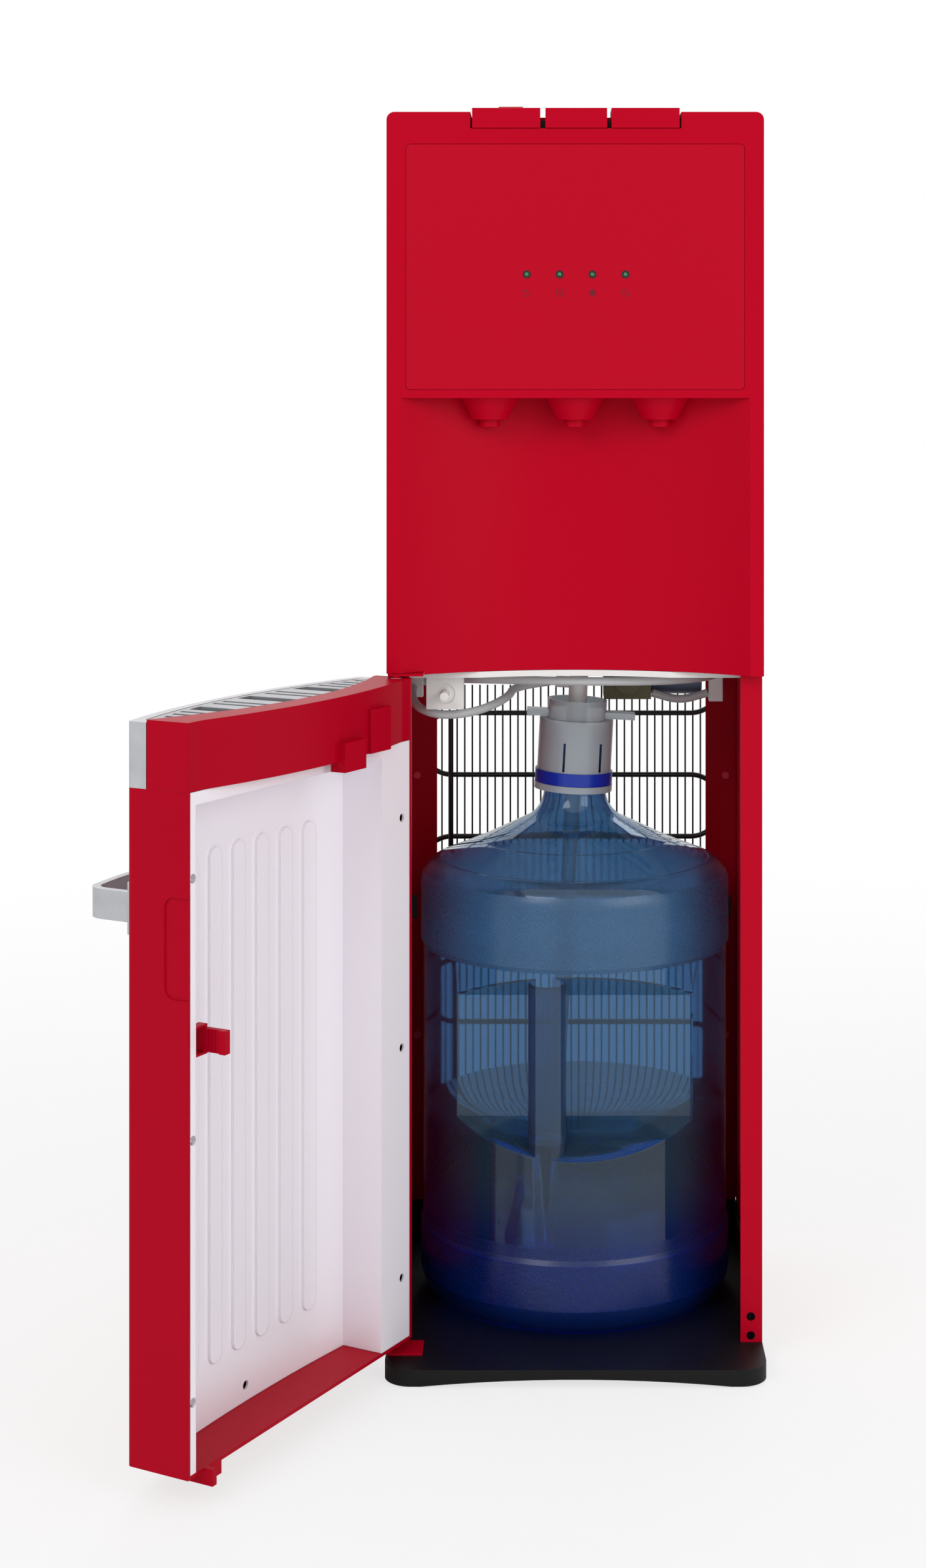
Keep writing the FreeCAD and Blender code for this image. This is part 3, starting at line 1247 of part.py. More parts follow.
def make_door_top():
    """The door's cap with its bulging rear, the silver band, the drip tray and its grille."""
    inset = "(fascia_wall + gap)"
    side, turn = f"({DOOR_HALF} - {inset})", f"({DOOR_EDGE} + door_corner)"
    sweep, offset = DOOR_SWEEP, f"({DOOR_HALF} + {HINGE_X})"
    bend, edge = f"({DOOR_HALF} - door_corner)", f"({DOOR_EDGE} + {inset})"
    plan = [
        (DOOR_HALF, DOOR_BACK),
        (DOOR_HALF, f"{FASCIA_BACK} + gap"),
        (side, f"{FASCIA_BACK} + gap"),
        (side, turn),
        (bend, edge),
        (f"-{bend}", edge, "0", f"{DOOR_APEX} + {inset}"),
        (f"-{side}", turn),
        (f"-{side}", f"{FASCIA_BACK} + gap"),
        (f"-{DOOR_HALF}", f"{FASCIA_BACK} + gap"),
        (f"-{DOOR_HALF}", f"{HINGE_Y} + sqrt({sweep}*{sweep} - {offset}*{offset})"),
        (
            HINGE_X,
            DOOR_BACK,
            f"{HINGE_X} - {offset}/2",
            f"{HINGE_Y} + sqrt({sweep}*{sweep} - {offset}*{offset}/4)",
        ),
        ("-bulge_half", DOOR_BACK),
        ("bulge_half", DOOR_BACK, "0", f"{DOOR_BACK} + cap_bulge"),
    ]
    body = prism("cap_body", plan, "cap_low", "cap_high")
    clip = block(
        "cap_clip",
        ("clip_left", "clip_left + clip_width"),
        (DOOR_BACK, f"{DOOR_BACK} + clip_reach"),
        ("cap_low", "cap_high - cap_bulge"),
    )
    tongue = block(
        "cap_tongue",
        ("tongue_left", "tongue_left + tongue_width"),
        (f"{DOOR_BACK} + cap_bulge/2", f"{DOOR_BACK} + tongue_reach"),
        ("tongue_low", "tongue_high"),
    )
    step = prism("cap_step", bounded("(-1)", "0"), f"{FASCIA_TOP} - grille_wall - 1", "cap_high + 1")
    pocket = prism("cap_pocket", basin("0", "0"), f"{FASCIA_TOP} - grille_wall - tray_depth - 1.5", "cap_high")
    hollow_wall = "3"
    under = prism(
        "cap_under",
        [
            (f"{side} - {hollow_wall}", f"{DOOR_BACK} - {hollow_wall}"),
            (f"{side} - {hollow_wall}", turn),
            (f"-({side} - {hollow_wall})", turn, "0", f"{DOOR_APEX} + {inset} + {hollow_wall}"),
            (f"-({side} - {hollow_wall})", f"{DOOR_BACK} - 4*{hollow_wall} - grille_back"),
            ("pan_left", f"{DOOR_BACK} - {hollow_wall}"),
        ],
        "cap_low - 1",
        f"{FASCIA_TOP} - grille_wall - tray_depth - 1.5 - {hollow_wall}",
    )
    bush_room = rod(
        "cap_bush_room",
        "pin_thick + pin_play + bush_wall + gap",
        "2*pin_long",
        HINGE_X,
        HINGE_Y,
        "cap_high - pin_long - gap",
    )
    shape = fuse("cap_shape", body, clip, tongue)
    piece(swing(cut("cap_cut", shape, step, pocket, under, bush_room)), "door_cap")

    band = prism("fascia_band", bounded("0", "(-gap)"), "cap_low", FASCIA_TOP)
    inner = f"({DOOR_HALF} - fascia_wall)"
    front = f"({DOOR_EDGE} + fascia_wall)"
    room = prism(
        "fascia_room",
        [
            (inner, DOOR_BACK),
            (inner, turn),
            (bend, front),
            (f"-{bend}", front, "0", f"{DOOR_APEX} + fascia_wall"),
            (f"-{inner}", turn),
            (f"-{inner}", DOOR_BACK),
        ],
        "cap_low - fascia_wall",
        f"{FASCIA_TOP} - grille_wall",
    )
    opening = prism("fascia_opening", basin("0", "grille_rim"), f"{FASCIA_TOP} - 2*grille_wall", "cap_high")
    piece(swing(cut("fascia_cut", band, room, opening)), "door_fascia")

    plate = prism("grille_plate", basin("gap", "(-2*gap)"), f"{FASCIA_TOP} - grille_wall - gap", f"{FASCIA_TOP} - gap")
    inside = prism("grille_inside", basin("grille_margin", "(-grille_margin)"), "cap_low", "cap_high")
    slots = []
    for wide in NOZZLE_PLACES:
        limits = (f"{wide} - wide_slot/2", f"{wide} + wide_slot/2")
        slots.append(block(f"wide_slot_{len(slots)}", limits, (DOOR_APEX, DOOR_BACK), ("cap_low", "cap_high")))
    narrow = [f"(nozzle_pitch + slat_first + {step}*slat_pitch)" for step in range(SLATS)]
    narrow += [f"(-{place_x})" for place_x in narrow]
    narrow += [f"({side}*nozzle_pitch/2 + {shift}*slat_pitch/2)" for side in (-1, 1) for shift in (-1, 1)]
    for number, middle in enumerate(narrow):
        limits = (f"{middle} - slat_slot/2", f"{middle} + slat_slot/2")
        slots.append(block(f"slot_{number}", limits, (DOOR_APEX, DOOR_BACK), ("cap_low", "cap_high")))
    openings = common("grille_openings", fuse("grille_slots", *slots), inside)
    piece(swing(cut("grille_cut", plate, openings)), "drip_grille")
    tray_low = f"{FASCIA_TOP} - grille_wall - 2*gap - tray_depth"
    tray_high = f"{FASCIA_TOP} - grille_wall - 2*gap"
    tray = prism("tray_block", basin("gap", "(-2*gap)"), tray_low, tray_high)
    tray_room = prism(
        "tray_room", basin("(gap + tray_wall)", "(-2*gap - tray_wall)"), f"{tray_low} + tray_wall", f"{tray_high} + 1"
    )
    piece(swing(cut("tray_cut", tray, tray_room)), "drip_tray")


SLATS = 4


def make_liner():
    """The white door liner with its pan, ribs and screw holes."""
    bottom, top = "(door_low + door_wall + gap)", "(cap_low - gap)"
    left, right = f"({HINGE_X} + gap)", f"({DOOR_HALF} - door_wall - gap)"
    rim = block("liner_rim", (left, right), (f"{DOOR_BACK} - liner_wall", DOOR_BACK), (bottom, top))

    def pan(name, grow, back, low, high):
        """Make one side of the pan's wall."""
        middle = f"((pan_left + pan_right)/2)"
        return prism(
            name,
            [
                (f"pan_left - {grow}", back),
                (f"pan_left - {grow}", f"{PAN_FLOOR} - {grow}"),
                (f"pan_right + {grow}", f"{PAN_FLOOR} - {grow}", middle, f"{PAN_FLOOR} - pan_bow - {grow}"),
                (f"pan_right + {grow}", back),
            ],
            low,
            high,
        )

    outer = pan("pan_outer", "liner_wall", f"{DOOR_BACK} - liner_wall/2", bottom, "pan_high + liner_wall")
    inner = pan("pan_inner", "0", f"{DOOR_BACK} + liner_wall", f"{bottom} - liner_wall", "pan_high")
    layer_outer = pan("rib_layer_outer", "liner_wall/2", f"{PAN_FLOOR} + liner_wall", "rib_low", "rib_high")
    layer_inner = pan("rib_layer_inner", "(-rib_rise)", f"{PAN_FLOOR} + 2*rib_rise", "rib_low - 1", "rib_high + 1")
    layer = cut("rib_layer", layer_outer, layer_inner)
    ribs = []
    for number in range(RIBS):
        middle = f"((pan_left + pan_right)/2 + ({number} - {RIBS - 1}/2)*rib_pitch)"
        outline = rounded(
            f"({middle} - rib_width/2)", f"({middle} + rib_width/2)", "rib_low", "rib_high", "(rib_width/2 - gap)"
        )
        ribs.append(prism(f"rib_{number}", outline, f"{PAN_FLOOR} - 3*pan_bow", DOOR_BACK, "XZ_Plane"))
    shaped = common("rib_shape", layer, fuse("rib_bars", *ribs))
    holes = []
    for number in range(3):
        height = f"liner_screw_low + {number}*liner_screw_pitch"
        for side in ("left", "right"):
            name = f"liner_hole_{side}_{number}"
            start = f"{DOOR_BACK} - 2*liner_wall"
            holes.append(rod(name, "liner_hole", "4*liner_wall", f"liner_screw_{side}", start, height, "y"))
    start = f"{PAN_FLOOR} - 2*pan_bow"
    holes.append(rod("sill_hole", "liner_hole", "3*pan_bow", "sill_side", start, "sill_height", "y"))
    shell = cut("liner_shell", fuse("liner_parts", rim, outer), inner)
    piece(swing(cut("liner_cut", fuse("liner_shape", shell, shaped), *holes)), "door_liner")


RIBS = 6


def bow(x, out):
    """Give the y of the door's bowed front at an x, moved out by a distance."""
    half = f"({DOOR_HALF} - door_corner)"
    radius = f"(({half}*{half} + door_bow*door_bow)/(2*door_bow))"
    return f"({DOOR_APEX} + {radius} - sqrt(({radius} + {out})*({radius} + {out}) - ({x})*({x})))"


def make_door_fittings():
    """The handle on the door's front and the sprung latch inside its free edge."""
    left, right = "(handle_left - 2*plate_wall)", "(handle_right + plate_wall)"
    middle = f"(({left} + {right})/2)"
    low, high = "(handle_height - plate_tall/2)", "(handle_height + plate_tall/2)"
    outside = "(gap + plate_wall)"
    plate = prism(
        "handle_plate",
        [
            (left, bow(left, outside)),
            (right, bow(right, outside), middle, bow(middle, outside)),
            (right, bow(right, "gap")),
            (left, bow(left, "gap"), middle, bow(middle, "gap")),
        ],
        low,
        high,
    )
    front = f"({DOOR_APEX} - handle_reach)"

    def loop(name, inset, rise):
        """Make the solid inside one outline of the handle's loop."""
        near, far_side = f"(handle_left + {inset})", f"(handle_right - {inset})"
        bend = f"(handle_reach/2 - {inset})"
        face = f"({front} + {inset})"
        slant = f"({face} + handle_wall)"
        far = f"{bend}*(1 - cos(45))"
        return prism(
            name,
            [
                (near, bow("handle_left", "gap + plate_wall/2")),
                (near, f"{face} + {bend}"),
                (f"{near} + {bend}", face, f"{near} + {far}", f"{face} + {far}"),
                (f"{far_side} - {bend}", slant, "(handle_left + handle_right)/2", f"{face} + handle_wall/4"),
                (far_side, f"{slant} + {bend}", f"{far_side} - {far}", f"{slant} + {far}"),
                (far_side, bow("handle_right", "gap + plate_wall*3/4")),
            ],
            f"handle_height - handle_tall/2 - {rise}",
            f"handle_height + handle_tall/2 + {rise}",
        )

    outer, inner = loop("handle_outer", "0", "0"), loop("handle_inner", "handle_wall", "1")
    band = cut("handle_band", outer, inner)
    piece(swing(fuse("handle_shape", plate, band)), "door_handle")

    hook_left = "(hook_side - hook_wall)"
    pivot_x, pivot_y = "(hook_side - hook_wall/2)", f"({DOOR_BACK} - pivot_depth)"
    low, high = "(hook_height - hook_tall/2)", "(hook_height + hook_tall/2)"
    heel = f"({pivot_y} - hook_wall/2)"
    arm = block("hook_arm", (hook_left, "hook_side"), (heel, f"{DOOR_BACK} + hook_reach"), (low, high))
    nib = block(
        "hook_nib_block",
        (hook_left, "hook_side + hook_nib"),
        (f"{DOOR_BACK} + hook_reach - hook_wall", f"{DOOR_BACK} + hook_reach"),
        (low, high),
    )
    bore = rod("hook_bore", "hook_pin + pin_play", "2*hook_tall", pivot_x, pivot_y, f"{low} - hook_tall/2")
    grooves = []
    for number in range(3):
        start = f"{DOOR_BACK} + hook_wall/2 + {number}*2*groove_width"
        grooves.append(
            block(
                f"hook_groove_{number}",
                ("hook_side - groove_width/2", "hook_side + groove_width"),
                (start, f"{start} + groove_width"),
                (f"{low} - 1", f"{high} + 1"),
            )
        )
    piece(swing(cut("hook_cut", fuse("hook_shape", arm, nib), bore, *grooves)), "latch_hook")
    wall = f"(pan_right - gap)"
    cheeks = []
    for number, start in enumerate((f"{low} - gap - bracket_wall", f"{high} + gap")):
        cheeks.append(
            block(
                f"latch_cheek_{number}",
                (hook_left, wall),
                (heel, f"{pivot_y} + hook_wall"),
                (start, f"{start} + bracket_wall"),
            )
        )
    web = block(
        "latch_web",
        (f"{wall} - bracket_wall", wall),
        (heel, f"{pivot_y} + hook_wall"),
        (f"{low} - gap - bracket_wall", f"{high} + gap + bracket_wall"),
    )
    pin = rod("latch_pin", "hook_pin", "hook_tall + 2*gap + bracket_wall", pivot_x, pivot_y, f"{low} - gap - bracket_wall/2")
    piece(swing(fuse("latch_shape", *cheeks, web, pin)), "latch_mount")


SHELF_TOP = "(shelf_height - gap)"
SHELF_UNDER = "(shelf_height - gap - shelf_wall)"


def make_shelf():
    """The shelf over the bottle with its lip, and the door switch that hangs under it."""
    front = f"{FRONT} + shelf_setback"
    across, back = (f"-{INSIDE}", INSIDE), f"{REAR} - sheet_wall - gap"
    lip = "(shelf_height - gap - lip_drop)"
    body = block("shelf_body", across, (front, back), (lip, SHELF_TOP))
    under = block(
        "shelf_room", (f"-{HALF}", HALF), (f"{front} + housing_wall", f"{back} + 1"), (f"{lip} - 1", SHELF_UNDER)
    )
    lip_rod = rod("shelf_lip_rod", f"{COVE_RADIUS} + housing_wall", "2*lip_drop", "0", COVE_CENTRE, f"{lip} - 1")
    front_rod = rod("shelf_front_rod", COVE_RADIUS, "3*lip_drop", "0", COVE_CENTRE, f"{lip} - 2")
    piece(cut("shelf_cut", body, cut("shelf_under", under, lip_rod), front_rod), "mid_shelf")
    face = f"({FRONT} + sensor_front)"
    wall = "2"
    box = block(
        "switch_box", ("sensor_left", "sensor_right"), (face, f"{face} + sensor_depth"), ("sensor_low", SHELF_UNDER)
    )
    room = block(
        "switch_room",
        (f"sensor_left + {wall}", f"sensor_right - {wall}"),
        (f"{face} + 2*{wall}", f"{face} + sensor_depth + 1"),
        (f"sensor_low + {wall}", f"{SHELF_UNDER} - {wall}"),
    )
    middle = "(sensor_left + sensor_right)/2"
    hole = rod("switch_hole", "pin_radius + pin_play", "4*pin_travel", middle, f"{face} - 1", "pin_height", "y")
    recess = rod("switch_recess", "sensor_recess", f"1 + {wall}/2", middle, f"{face} - 1", "pin_height", "y")
    piece(cut("switch_cut", box, room, hole, recess), "switch_housing")
    length = "pin_proud + 3*pin_travel/2"
    pin = rod("pin_rod", "pin_radius", length, middle, f"{face} - pin_proud", "pin_height", "y")
    head = rod("pin_head", "pin_radius + 1.5", "1.5", middle, f"{face} + 2*{wall} + gap", "pin_height", "y")
    piece(fuse("pin_shape", pin, head), "switch_pin")


def make_water():
    """The pump under the shelf with its hoses."""
    front = f"({FRONT} + pump_front)"
    pump = block("pump_block", ("pump_left", "pump_right"), (front, f"{front} + pump_depth"), ("pump_low", SHELF_UNDER))
    hump = rod("pump_head", "motor_radius - 2", "6", "(pump_left + pump_right)/2", f"{front} - 6", "pump_low + 18", "y")
    piece(fuse("pump_shape", pump, hump), "water_pump")
    motor_y = f"({front} + pump_depth - motor_radius - 4)"
    motor = rod("motor_can", "motor_radius", "motor_length", "pump_right", motor_y, "pump_low + motor_radius + 2", "x")
    piece(motor, "pump_motor")
    elbow_left = "(pump_right + motor_length + 6)"
    elbow = block(
        "elbow_block", (elbow_left, f"{elbow_left} + 12"), (front, f"{front} + 12"), ("pump_low - 2", SHELF_UNDER)
    )
    clip_back = f"{FRONT} + hose_clip_back"
    clip = block(
        "clip_block",
        ("hose_clip_side - 8", "hose_clip_side + 8"),
        (f"{clip_back} - 6", f"{clip_back} + 6"),
        ("shelf_height - hose_clip_drop", SHELF_UNDER),
    )
    piece(fuse("fittings", elbow, clip), "hose_fittings")
    start = value(FRONT)
    under = value("shelf_height")
    radius = value("hose_radius")
    for node, points in HOSES.items():
        path = [Vector(x, y + start, under - drop) for x, y, drop in points]
        piece(tube(f"{node}_tube", path, radius), node)


# Each hose's route: across, back from the upper front face, and down from the housing's underside.
HOSES = {
    "pump_hose": [(71.2, 186, 36.5), (96, 186, 43.5), (120.8, 186, 36.5)],
    "supply_hose": [
        (128, 179.0, 17.5),
        (126, 140, 14),
        (112, 92, 11.8),
        (70, 62, 11.3),
        (5, 60, 11.3),
        (-55, 72, 11.3),
        (-100, 98, 13.5),
        (-128.7, 106, 16.5),
    ],
    "probe_hose": [
        (-138, 98.6, 21.5),
        (-140, 76, 31),
        (-118, 58, 40),
        (-84, 70, 39),
        (-56, 104, 30.5),
        (-52, 139, 24.5),
        (-20.6, 148, 22),
    ],
}


COIL_LOW = "(coil_top - (coil_runs - 1)*coil_pitch)"


def make_condenser():
    """The condenser behind the rear panel: one bent tube, its wires, its posts and the riser pipe."""
    depth = value(f"{REAR} + coil_gap")
    outer = value("coil_half + coil_pitch/2")
    top, pitch = value("coil_top"), value("coil_pitch")
    runs = int(value("coil_runs"))
    points = [Vector(outer, depth, value("inlet_height"))]
    for run in range(runs):
        height = top - run * pitch
        first, last = (outer, -outer) if run % 2 == 0 else (-outer, outer)
        points.append(Vector(first, depth, height))
        points.append(Vector(last, depth, height))
    points[-1] = Vector(value("coil_half"), depth, points[-1].z)
    coil = tube("coil_tube", points, value("coil_radius"), value("coil_pitch/2 - gap"))
    piece(coil, "condenser_coil")
    wire_y = f"({REAR} + coil_gap + coil_radius + wire_radius + gap)"
    low = f"({COIL_LOW} - wire_over)"
    wires = []
    count = int(value("wire_count"))
    for number in range(count):
        side = f"({number} - (wire_count - 1)/2)*wire_pitch"
        wires.append(rod(f"wire_{number}", "wire_radius", f"coil_top + wire_over - {low}", side, wire_y, low))
    post_side = f"({HALF} - 2*coil_radius)"
    posts = []
    heights = (
        (COIL_LOW, f"{COIL_LOW} - 2*coil_radius", f"{COIL_LOW} + 2*coil_radius"),
        ("(coil_top - 3*coil_pitch)", "slot_low - 1", "slot_low + slot_height + 1"),
    )
    for number, (height, post_low, post_high) in enumerate(heights):
        wires.append(
            block(
                f"wire_rail_{number}",
                (f"-{post_side}", post_side),
                (wire_y, f"{wire_y} + 2*wire_radius"),
                (f"{height} - 2*wire_radius", f"{height} + 2*wire_radius"),
            )
        )
        for side in (-1, 1):
            near, far = f"{side}*{post_side}", f"{side}*({post_side} - slot_width - 2)"
            across = (near, far) if side < 0 else (far, near)
            posts.append(block(f"post_{number}_{side + 1}", across, (REAR, wire_y), (post_low, post_high)))
    piece(fuse("wires", *wires), "condenser_wires")
    piece(fuse("posts", *posts), "condenser_posts")
    riser_y = f"{REAR} + coil_gap - 2*coil_radius - gap"
    piece(rod("riser", "coil_radius", "(coil_runs - 1)*coil_pitch", "riser_side", riser_y, COIL_LOW), "riser_pipe")


def bend_point(start, end, inset):
    """Give the middle of the arc that leaves an upright wall and ends at a point, both as radius and height."""
    run, rise = f"({start[0]} - {end[0]})", f"({end[1]} - {start[1]})"
    radius = f"(({run}*{run} + {rise}*{rise})/(2*{run}))"
    chord = f"sqrt({run}*{run} + {rise}*{rise})"
    return f"{start[0]} - {inset} - {radius}*(1 - abs({rise})/{chord})", f"{start[1]} + abs({radius})*{run}/{chord}"


def make_bottle():
    """The water bottle with its grip recess."""
    def body(name, inset, low):
        """Make the bottle's turned shape, inset by a distance."""
        step = "(bottle_radius - bottle_waist)"
        wall_low = f"({low} + {inset})"
        heel = f"(heel_round - {inset})"
        far = f"{heel}*(1 - cos(45))"
        top = f"(neck_high + {inset})"
        return turned(
            name,
            [
                ("0", wall_low),
                (f"bottle_radius - {inset} - {heel}", wall_low),
                (f"bottle_radius - {inset}", f"{wall_low} + {heel}", f"bottle_radius - {inset} - {far}", f"{wall_low} + {far}"),
                (f"bottle_radius - {inset}", "band_low"),
                (f"bottle_waist - {inset}", f"band_low + 2*{step}"),
                (f"bottle_waist - {inset}", f"band_high - 2*{step}"),
                (f"bottle_radius - {inset}", "band_high"),
                (f"bottle_radius - {inset}", "shoulder_low"),
                (
                    f"shoulder_mid_radius - {inset}",
                    "shoulder_mid",
                    *bend_point(("bottle_radius", "shoulder_low"), ("shoulder_mid_radius", "shoulder_mid"), inset),
                ),
                (f"seam_radius - {inset}", "seam_height"),
                (f"throat_radius - {inset}", "throat_height"),
                (
                    f"neck_radius - {inset}",
                    "neck_low",
                    *bend_point(("neck_radius", "neck_low"), ("throat_radius", "throat_height"), inset),
                ),
                (f"neck_radius - {inset}", top),
                ("0", top),
            ],
            "bottle_side",
            BOTTLE_Y,
        )

    outer = body("bottle_outer", "0", BOTTLE_LOW)
    inner = body("bottle_inner", "bottle_wall", BOTTLE_LOW)
    face = f"({BOTTLE_Y} - bottle_radius)"

    def recess(name, grow):
        """Make the grip recess with its grip left standing, grown by the wall or not."""
        outline = rounded(
            f"(grip_left - {grow})",
            f"(grip_right + {grow})",
            f"(recess_low - {grow})",
            f"(recess_high + {grow})",
            f"(recess_corner + {grow})",
        )
        front, back = f"({face} - recess_depth)", f"({face} + recess_depth + {grow})"
        window = prism(f"{name}_window", outline, f"{face} - recess_depth/2", back, "XZ_Plane")
        taper = [
            (front, f"recess_low - recess_taper - {grow}"),
            (back, f"recess_low + recess_taper - {grow}"),
            (back, f"recess_high - recess_taper + {grow}"),
            (front, f"recess_high + recess_taper + {grow}"),
        ]
        wedge = prism(f"{name}_wedge", taper, f"grip_left - {grow} - 1", f"grip_right + {grow} + 1", "YZ_Plane")
        hollow = common(f"{name}_hollow", window, wedge)
        grip = rod(
            f"{name}_grip",
            f"column_radius - {grow}",
            f"recess_high - recess_low + 4*{grow} + 2",
            "column_side",
            f"{face} + column_back",
            f"recess_low - 2*{grow} - 1",
        )
        return cut(name, hollow, grip)

    cavity = cut("bottle_cavity", inner, recess("recess_wall", "bottle_wall"))
    piece(cut("bottle_cut", outer, recess("recess", "0"), cavity), "bottle")


def make_probe():
    """The probe: a collar on the bottle's neck, its ring, the elbow on top and the pickup tube inside."""
    bore = "pickup_radius + gap"
    roof = "(collar_step - collar_wall)"
    dish = "(crown_high - crown_sink)"
    collar = turned(
        "collar_turn",
        [
            ("collar_radius - collar_wall", "collar_low"),
            ("collar_lip", "collar_low"),
            ("collar_lip", "ring_low - gap"),
            ("collar_radius", "ring_low - gap"),
            ("collar_radius", "collar_step"),
            ("crown_radius", "collar_step"),
            ("crown_radius", "crown_high"),
            ("crown_radius - collar_wall", "crown_high"),
            ("crown_radius - collar_wall", dish),
            (bore, dish),
            (bore, roof),
            ("collar_radius - collar_wall", roof),
        ],
        "bottle_side",
        BOTTLE_Y,
    )
    half = "wing_wall/2"
    tall = (f"wing_height - {half}", f"wing_height + {half}")
    deep = (f"{BOTTLE_Y} - 8", f"{BOTTLE_Y} + 8")
    wings = [
        block("wing_block_left", ("bottle_side - wing_left", "bottle_side - crown_radius + 6"), deep, tall),
        block("wing_block_right", ("bottle_side + crown_radius - 6", "bottle_side + wing_right"), deep, tall),
    ]
    slits = []
    for number, middle in enumerate(("slit_left", "slit_right")):
        slits.append(
            block(
                f"slit_{number}",
                (f"{middle} - slit_width/2", f"{middle} + slit_width/2"),
                (f"{BOTTLE_Y} - collar_lip - 2", f"{BOTTLE_Y} - collar_radius/2"),
                ("slit_low", "slit_high"),
            )
        )
    piece(lean(cut("collar_cut", fuse("collar_shape", collar, *wings), *slits)), "probe_cap")
    ring = rod("ring_outer", "ring_radius", "ring_high - ring_low", "bottle_side", BOTTLE_Y, "ring_low")
    ring_way = rod(
        "ring_way", "collar_radius + pin_play", "ring_high - ring_low", "bottle_side", BOTTLE_Y, "ring_low"
    )
    piece(lean(cut("ring_shape", ring, ring_way)), "probe_ring")
    pipe = rod("pipe_outer", "spout_radius", f"spout_high - {dish} - gap", "bottle_side", BOTTLE_Y, f"{dish} + gap")
    barb_start = "bottle_side - barb_reach"
    barb = rod("pipe_barb", "barb_radius", "barb_reach", barb_start, BOTTLE_Y, "barb_height", "x")
    way = rod("pipe_way", "pickup_radius + gap", f"barb_height - {dish}", "bottle_side", BOTTLE_Y, dish)
    barb_way = rod("barb_way", "hose_radius", "barb_reach", f"{barb_start} - 1", BOTTLE_Y, "barb_height", "x")
    piece(lean(cut("pipe_cut", fuse("pipe_shape", pipe, barb), way, barb_way)), "probe_pipe")
    wall = "pickup_wall"
    tip = "(strainer_low + strainer_tall)"
    stem = turned(
        "pickup_turn",
        [
            ("0", "strainer_low"),
            ("strainer_radius", "strainer_low"),
            ("strainer_radius", tip),
            ("pickup_radius", tip),
            ("pickup_radius", f"{dish} + crown_sink"),
            (f"pickup_radius - {wall}", f"{dish} + crown_sink"),
            (f"pickup_radius - {wall}", f"{tip} - {wall}"),
            (f"strainer_radius - {wall}", f"{tip} - {wall}"),
            (f"strainer_radius - {wall}", f"strainer_low + {wall}"),
            ("0", f"strainer_low + {wall}"),
        ],
        "bottle_side",
        BOTTLE_Y,
    )
    ports = [
        block(
            "strainer_port_x",
            ("bottle_side - 2*strainer_radius", "bottle_side + 2*strainer_radius"),
            (f"{BOTTLE_Y} - {wall}", f"{BOTTLE_Y} + {wall}"),
            ("strainer_low + 2*pickup_wall", "strainer_low + strainer_tall/2"),
        ),
        block(
            "strainer_port_y",
            ("bottle_side - pickup_wall", "bottle_side + pickup_wall"),
            (f"{BOTTLE_Y} - 2*strainer_radius", f"{BOTTLE_Y} + 2*strainer_radius"),
            ("strainer_low + 2*pickup_wall", "strainer_low + strainer_tall/2"),
        ),
    ]
    piece(lean(cut("pickup_cut", stem, *ports)), "pickup_tube")


def make_machine():
    """The compressor, the two tanks and the brackets that carry them."""
    can_top = "compressor_lift + compressor_tall"
    radius = "compressor_radius"
    small = "compressor_radius*3/5"
    compressor = turned(
        "compressor_turn",
        [
            ("0", "compressor_lift - compressor_dome"),
            (small, "compressor_lift - compressor_dome"),
            (radius, "compressor_lift"),
            (radius, can_top),
            (small, f"{can_top} + compressor_dome"),
            ("0", f"{can_top} + compressor_dome"),
        ],
        "compressor_side",
        "compressor_back",
    )
    mounts = [
        rod(
            f"mount_{side}_{end}",
            "grommet_radius",
            f"compressor_lift - {SHELF_TOP}",
            f"compressor_side + {side}*compressor_radius*3/5",
            f"compressor_back + {end}*compressor_radius*3/5",
            SHELF_TOP,
        )
        for side in (-1, 1)
        for end in (-1, 1)
    ]
    piece(fuse("compressor_shape", compressor, *mounts), "compressor")
    foam = rod(
        "foam", "cold_radius + foam_wall", "cold_tall + foam_wall", "cold_side", "cold_back", "cold_low - foam_wall/2"
    )
    room = rod("cold_room", "cold_radius - tank_wall", "cold_tall", "cold_side", "cold_back", "cold_low")
    piece(cut("cold_cut", foam, room), "cold_tank")
    can = rod("hot_can", "hot_radius", "hot_tall", "hot_side", "hot_back", "hot_low")
    hot_room = rod(
        "hot_room",
        "hot_radius - tank_wall",
        "hot_tall - 2*tank_wall",
        "hot_side",
        "hot_back",
        "hot_low + tank_wall",
    )
    bands = [
        rod(f"band_{low}", "hot_radius + band_wall", "band_tall", "hot_side", "hot_back", f"hot_low + {low}*band_tall")
        for low in (2, 5)
    ]
    piece(cut("hot_cut", fuse("hot_shape", can, *bands), hot_room), "hot_tank")
    post = "(hot_side + hot_radius + 2*band_wall)"
    plates = [
        block(
            "tank_plate_left",
            (f"-{INSIDE}", post),
            ("hot_back - hot_radius", "hot_back + hot_radius"),
            ("hot_low - bracket_wall", "hot_low"),
        ),
        block(
            "tank_plate_right",
            ("cold_side - cold_radius", INSIDE),
            ("cold_back - cold_radius", "cold_back + cold_radius"),
            ("cold_low - foam_wall/2 - bracket_wall", "cold_low - foam_wall/2"),
        ),
        block(
            "tank_plate_post",
            (post, f"{post} + bracket_wall"),
            ("hot_back - hot_radius", "hot_back + hot_radius"),
            (SHELF_TOP, "cold_low - foam_wall/2"),
        ),
        block(
            "tank_plate_tie",
            (post, "cold_side - cold_radius"),
            ("hot_back - hot_radius", "hot_back + hot_radius"),
            ("cold_low - foam_wall/2 - bracket_wall", "cold_low - foam_wall/2"),
        ),
    ]
    piece(fuse("tank_plates", *plates), "tank_shelf")


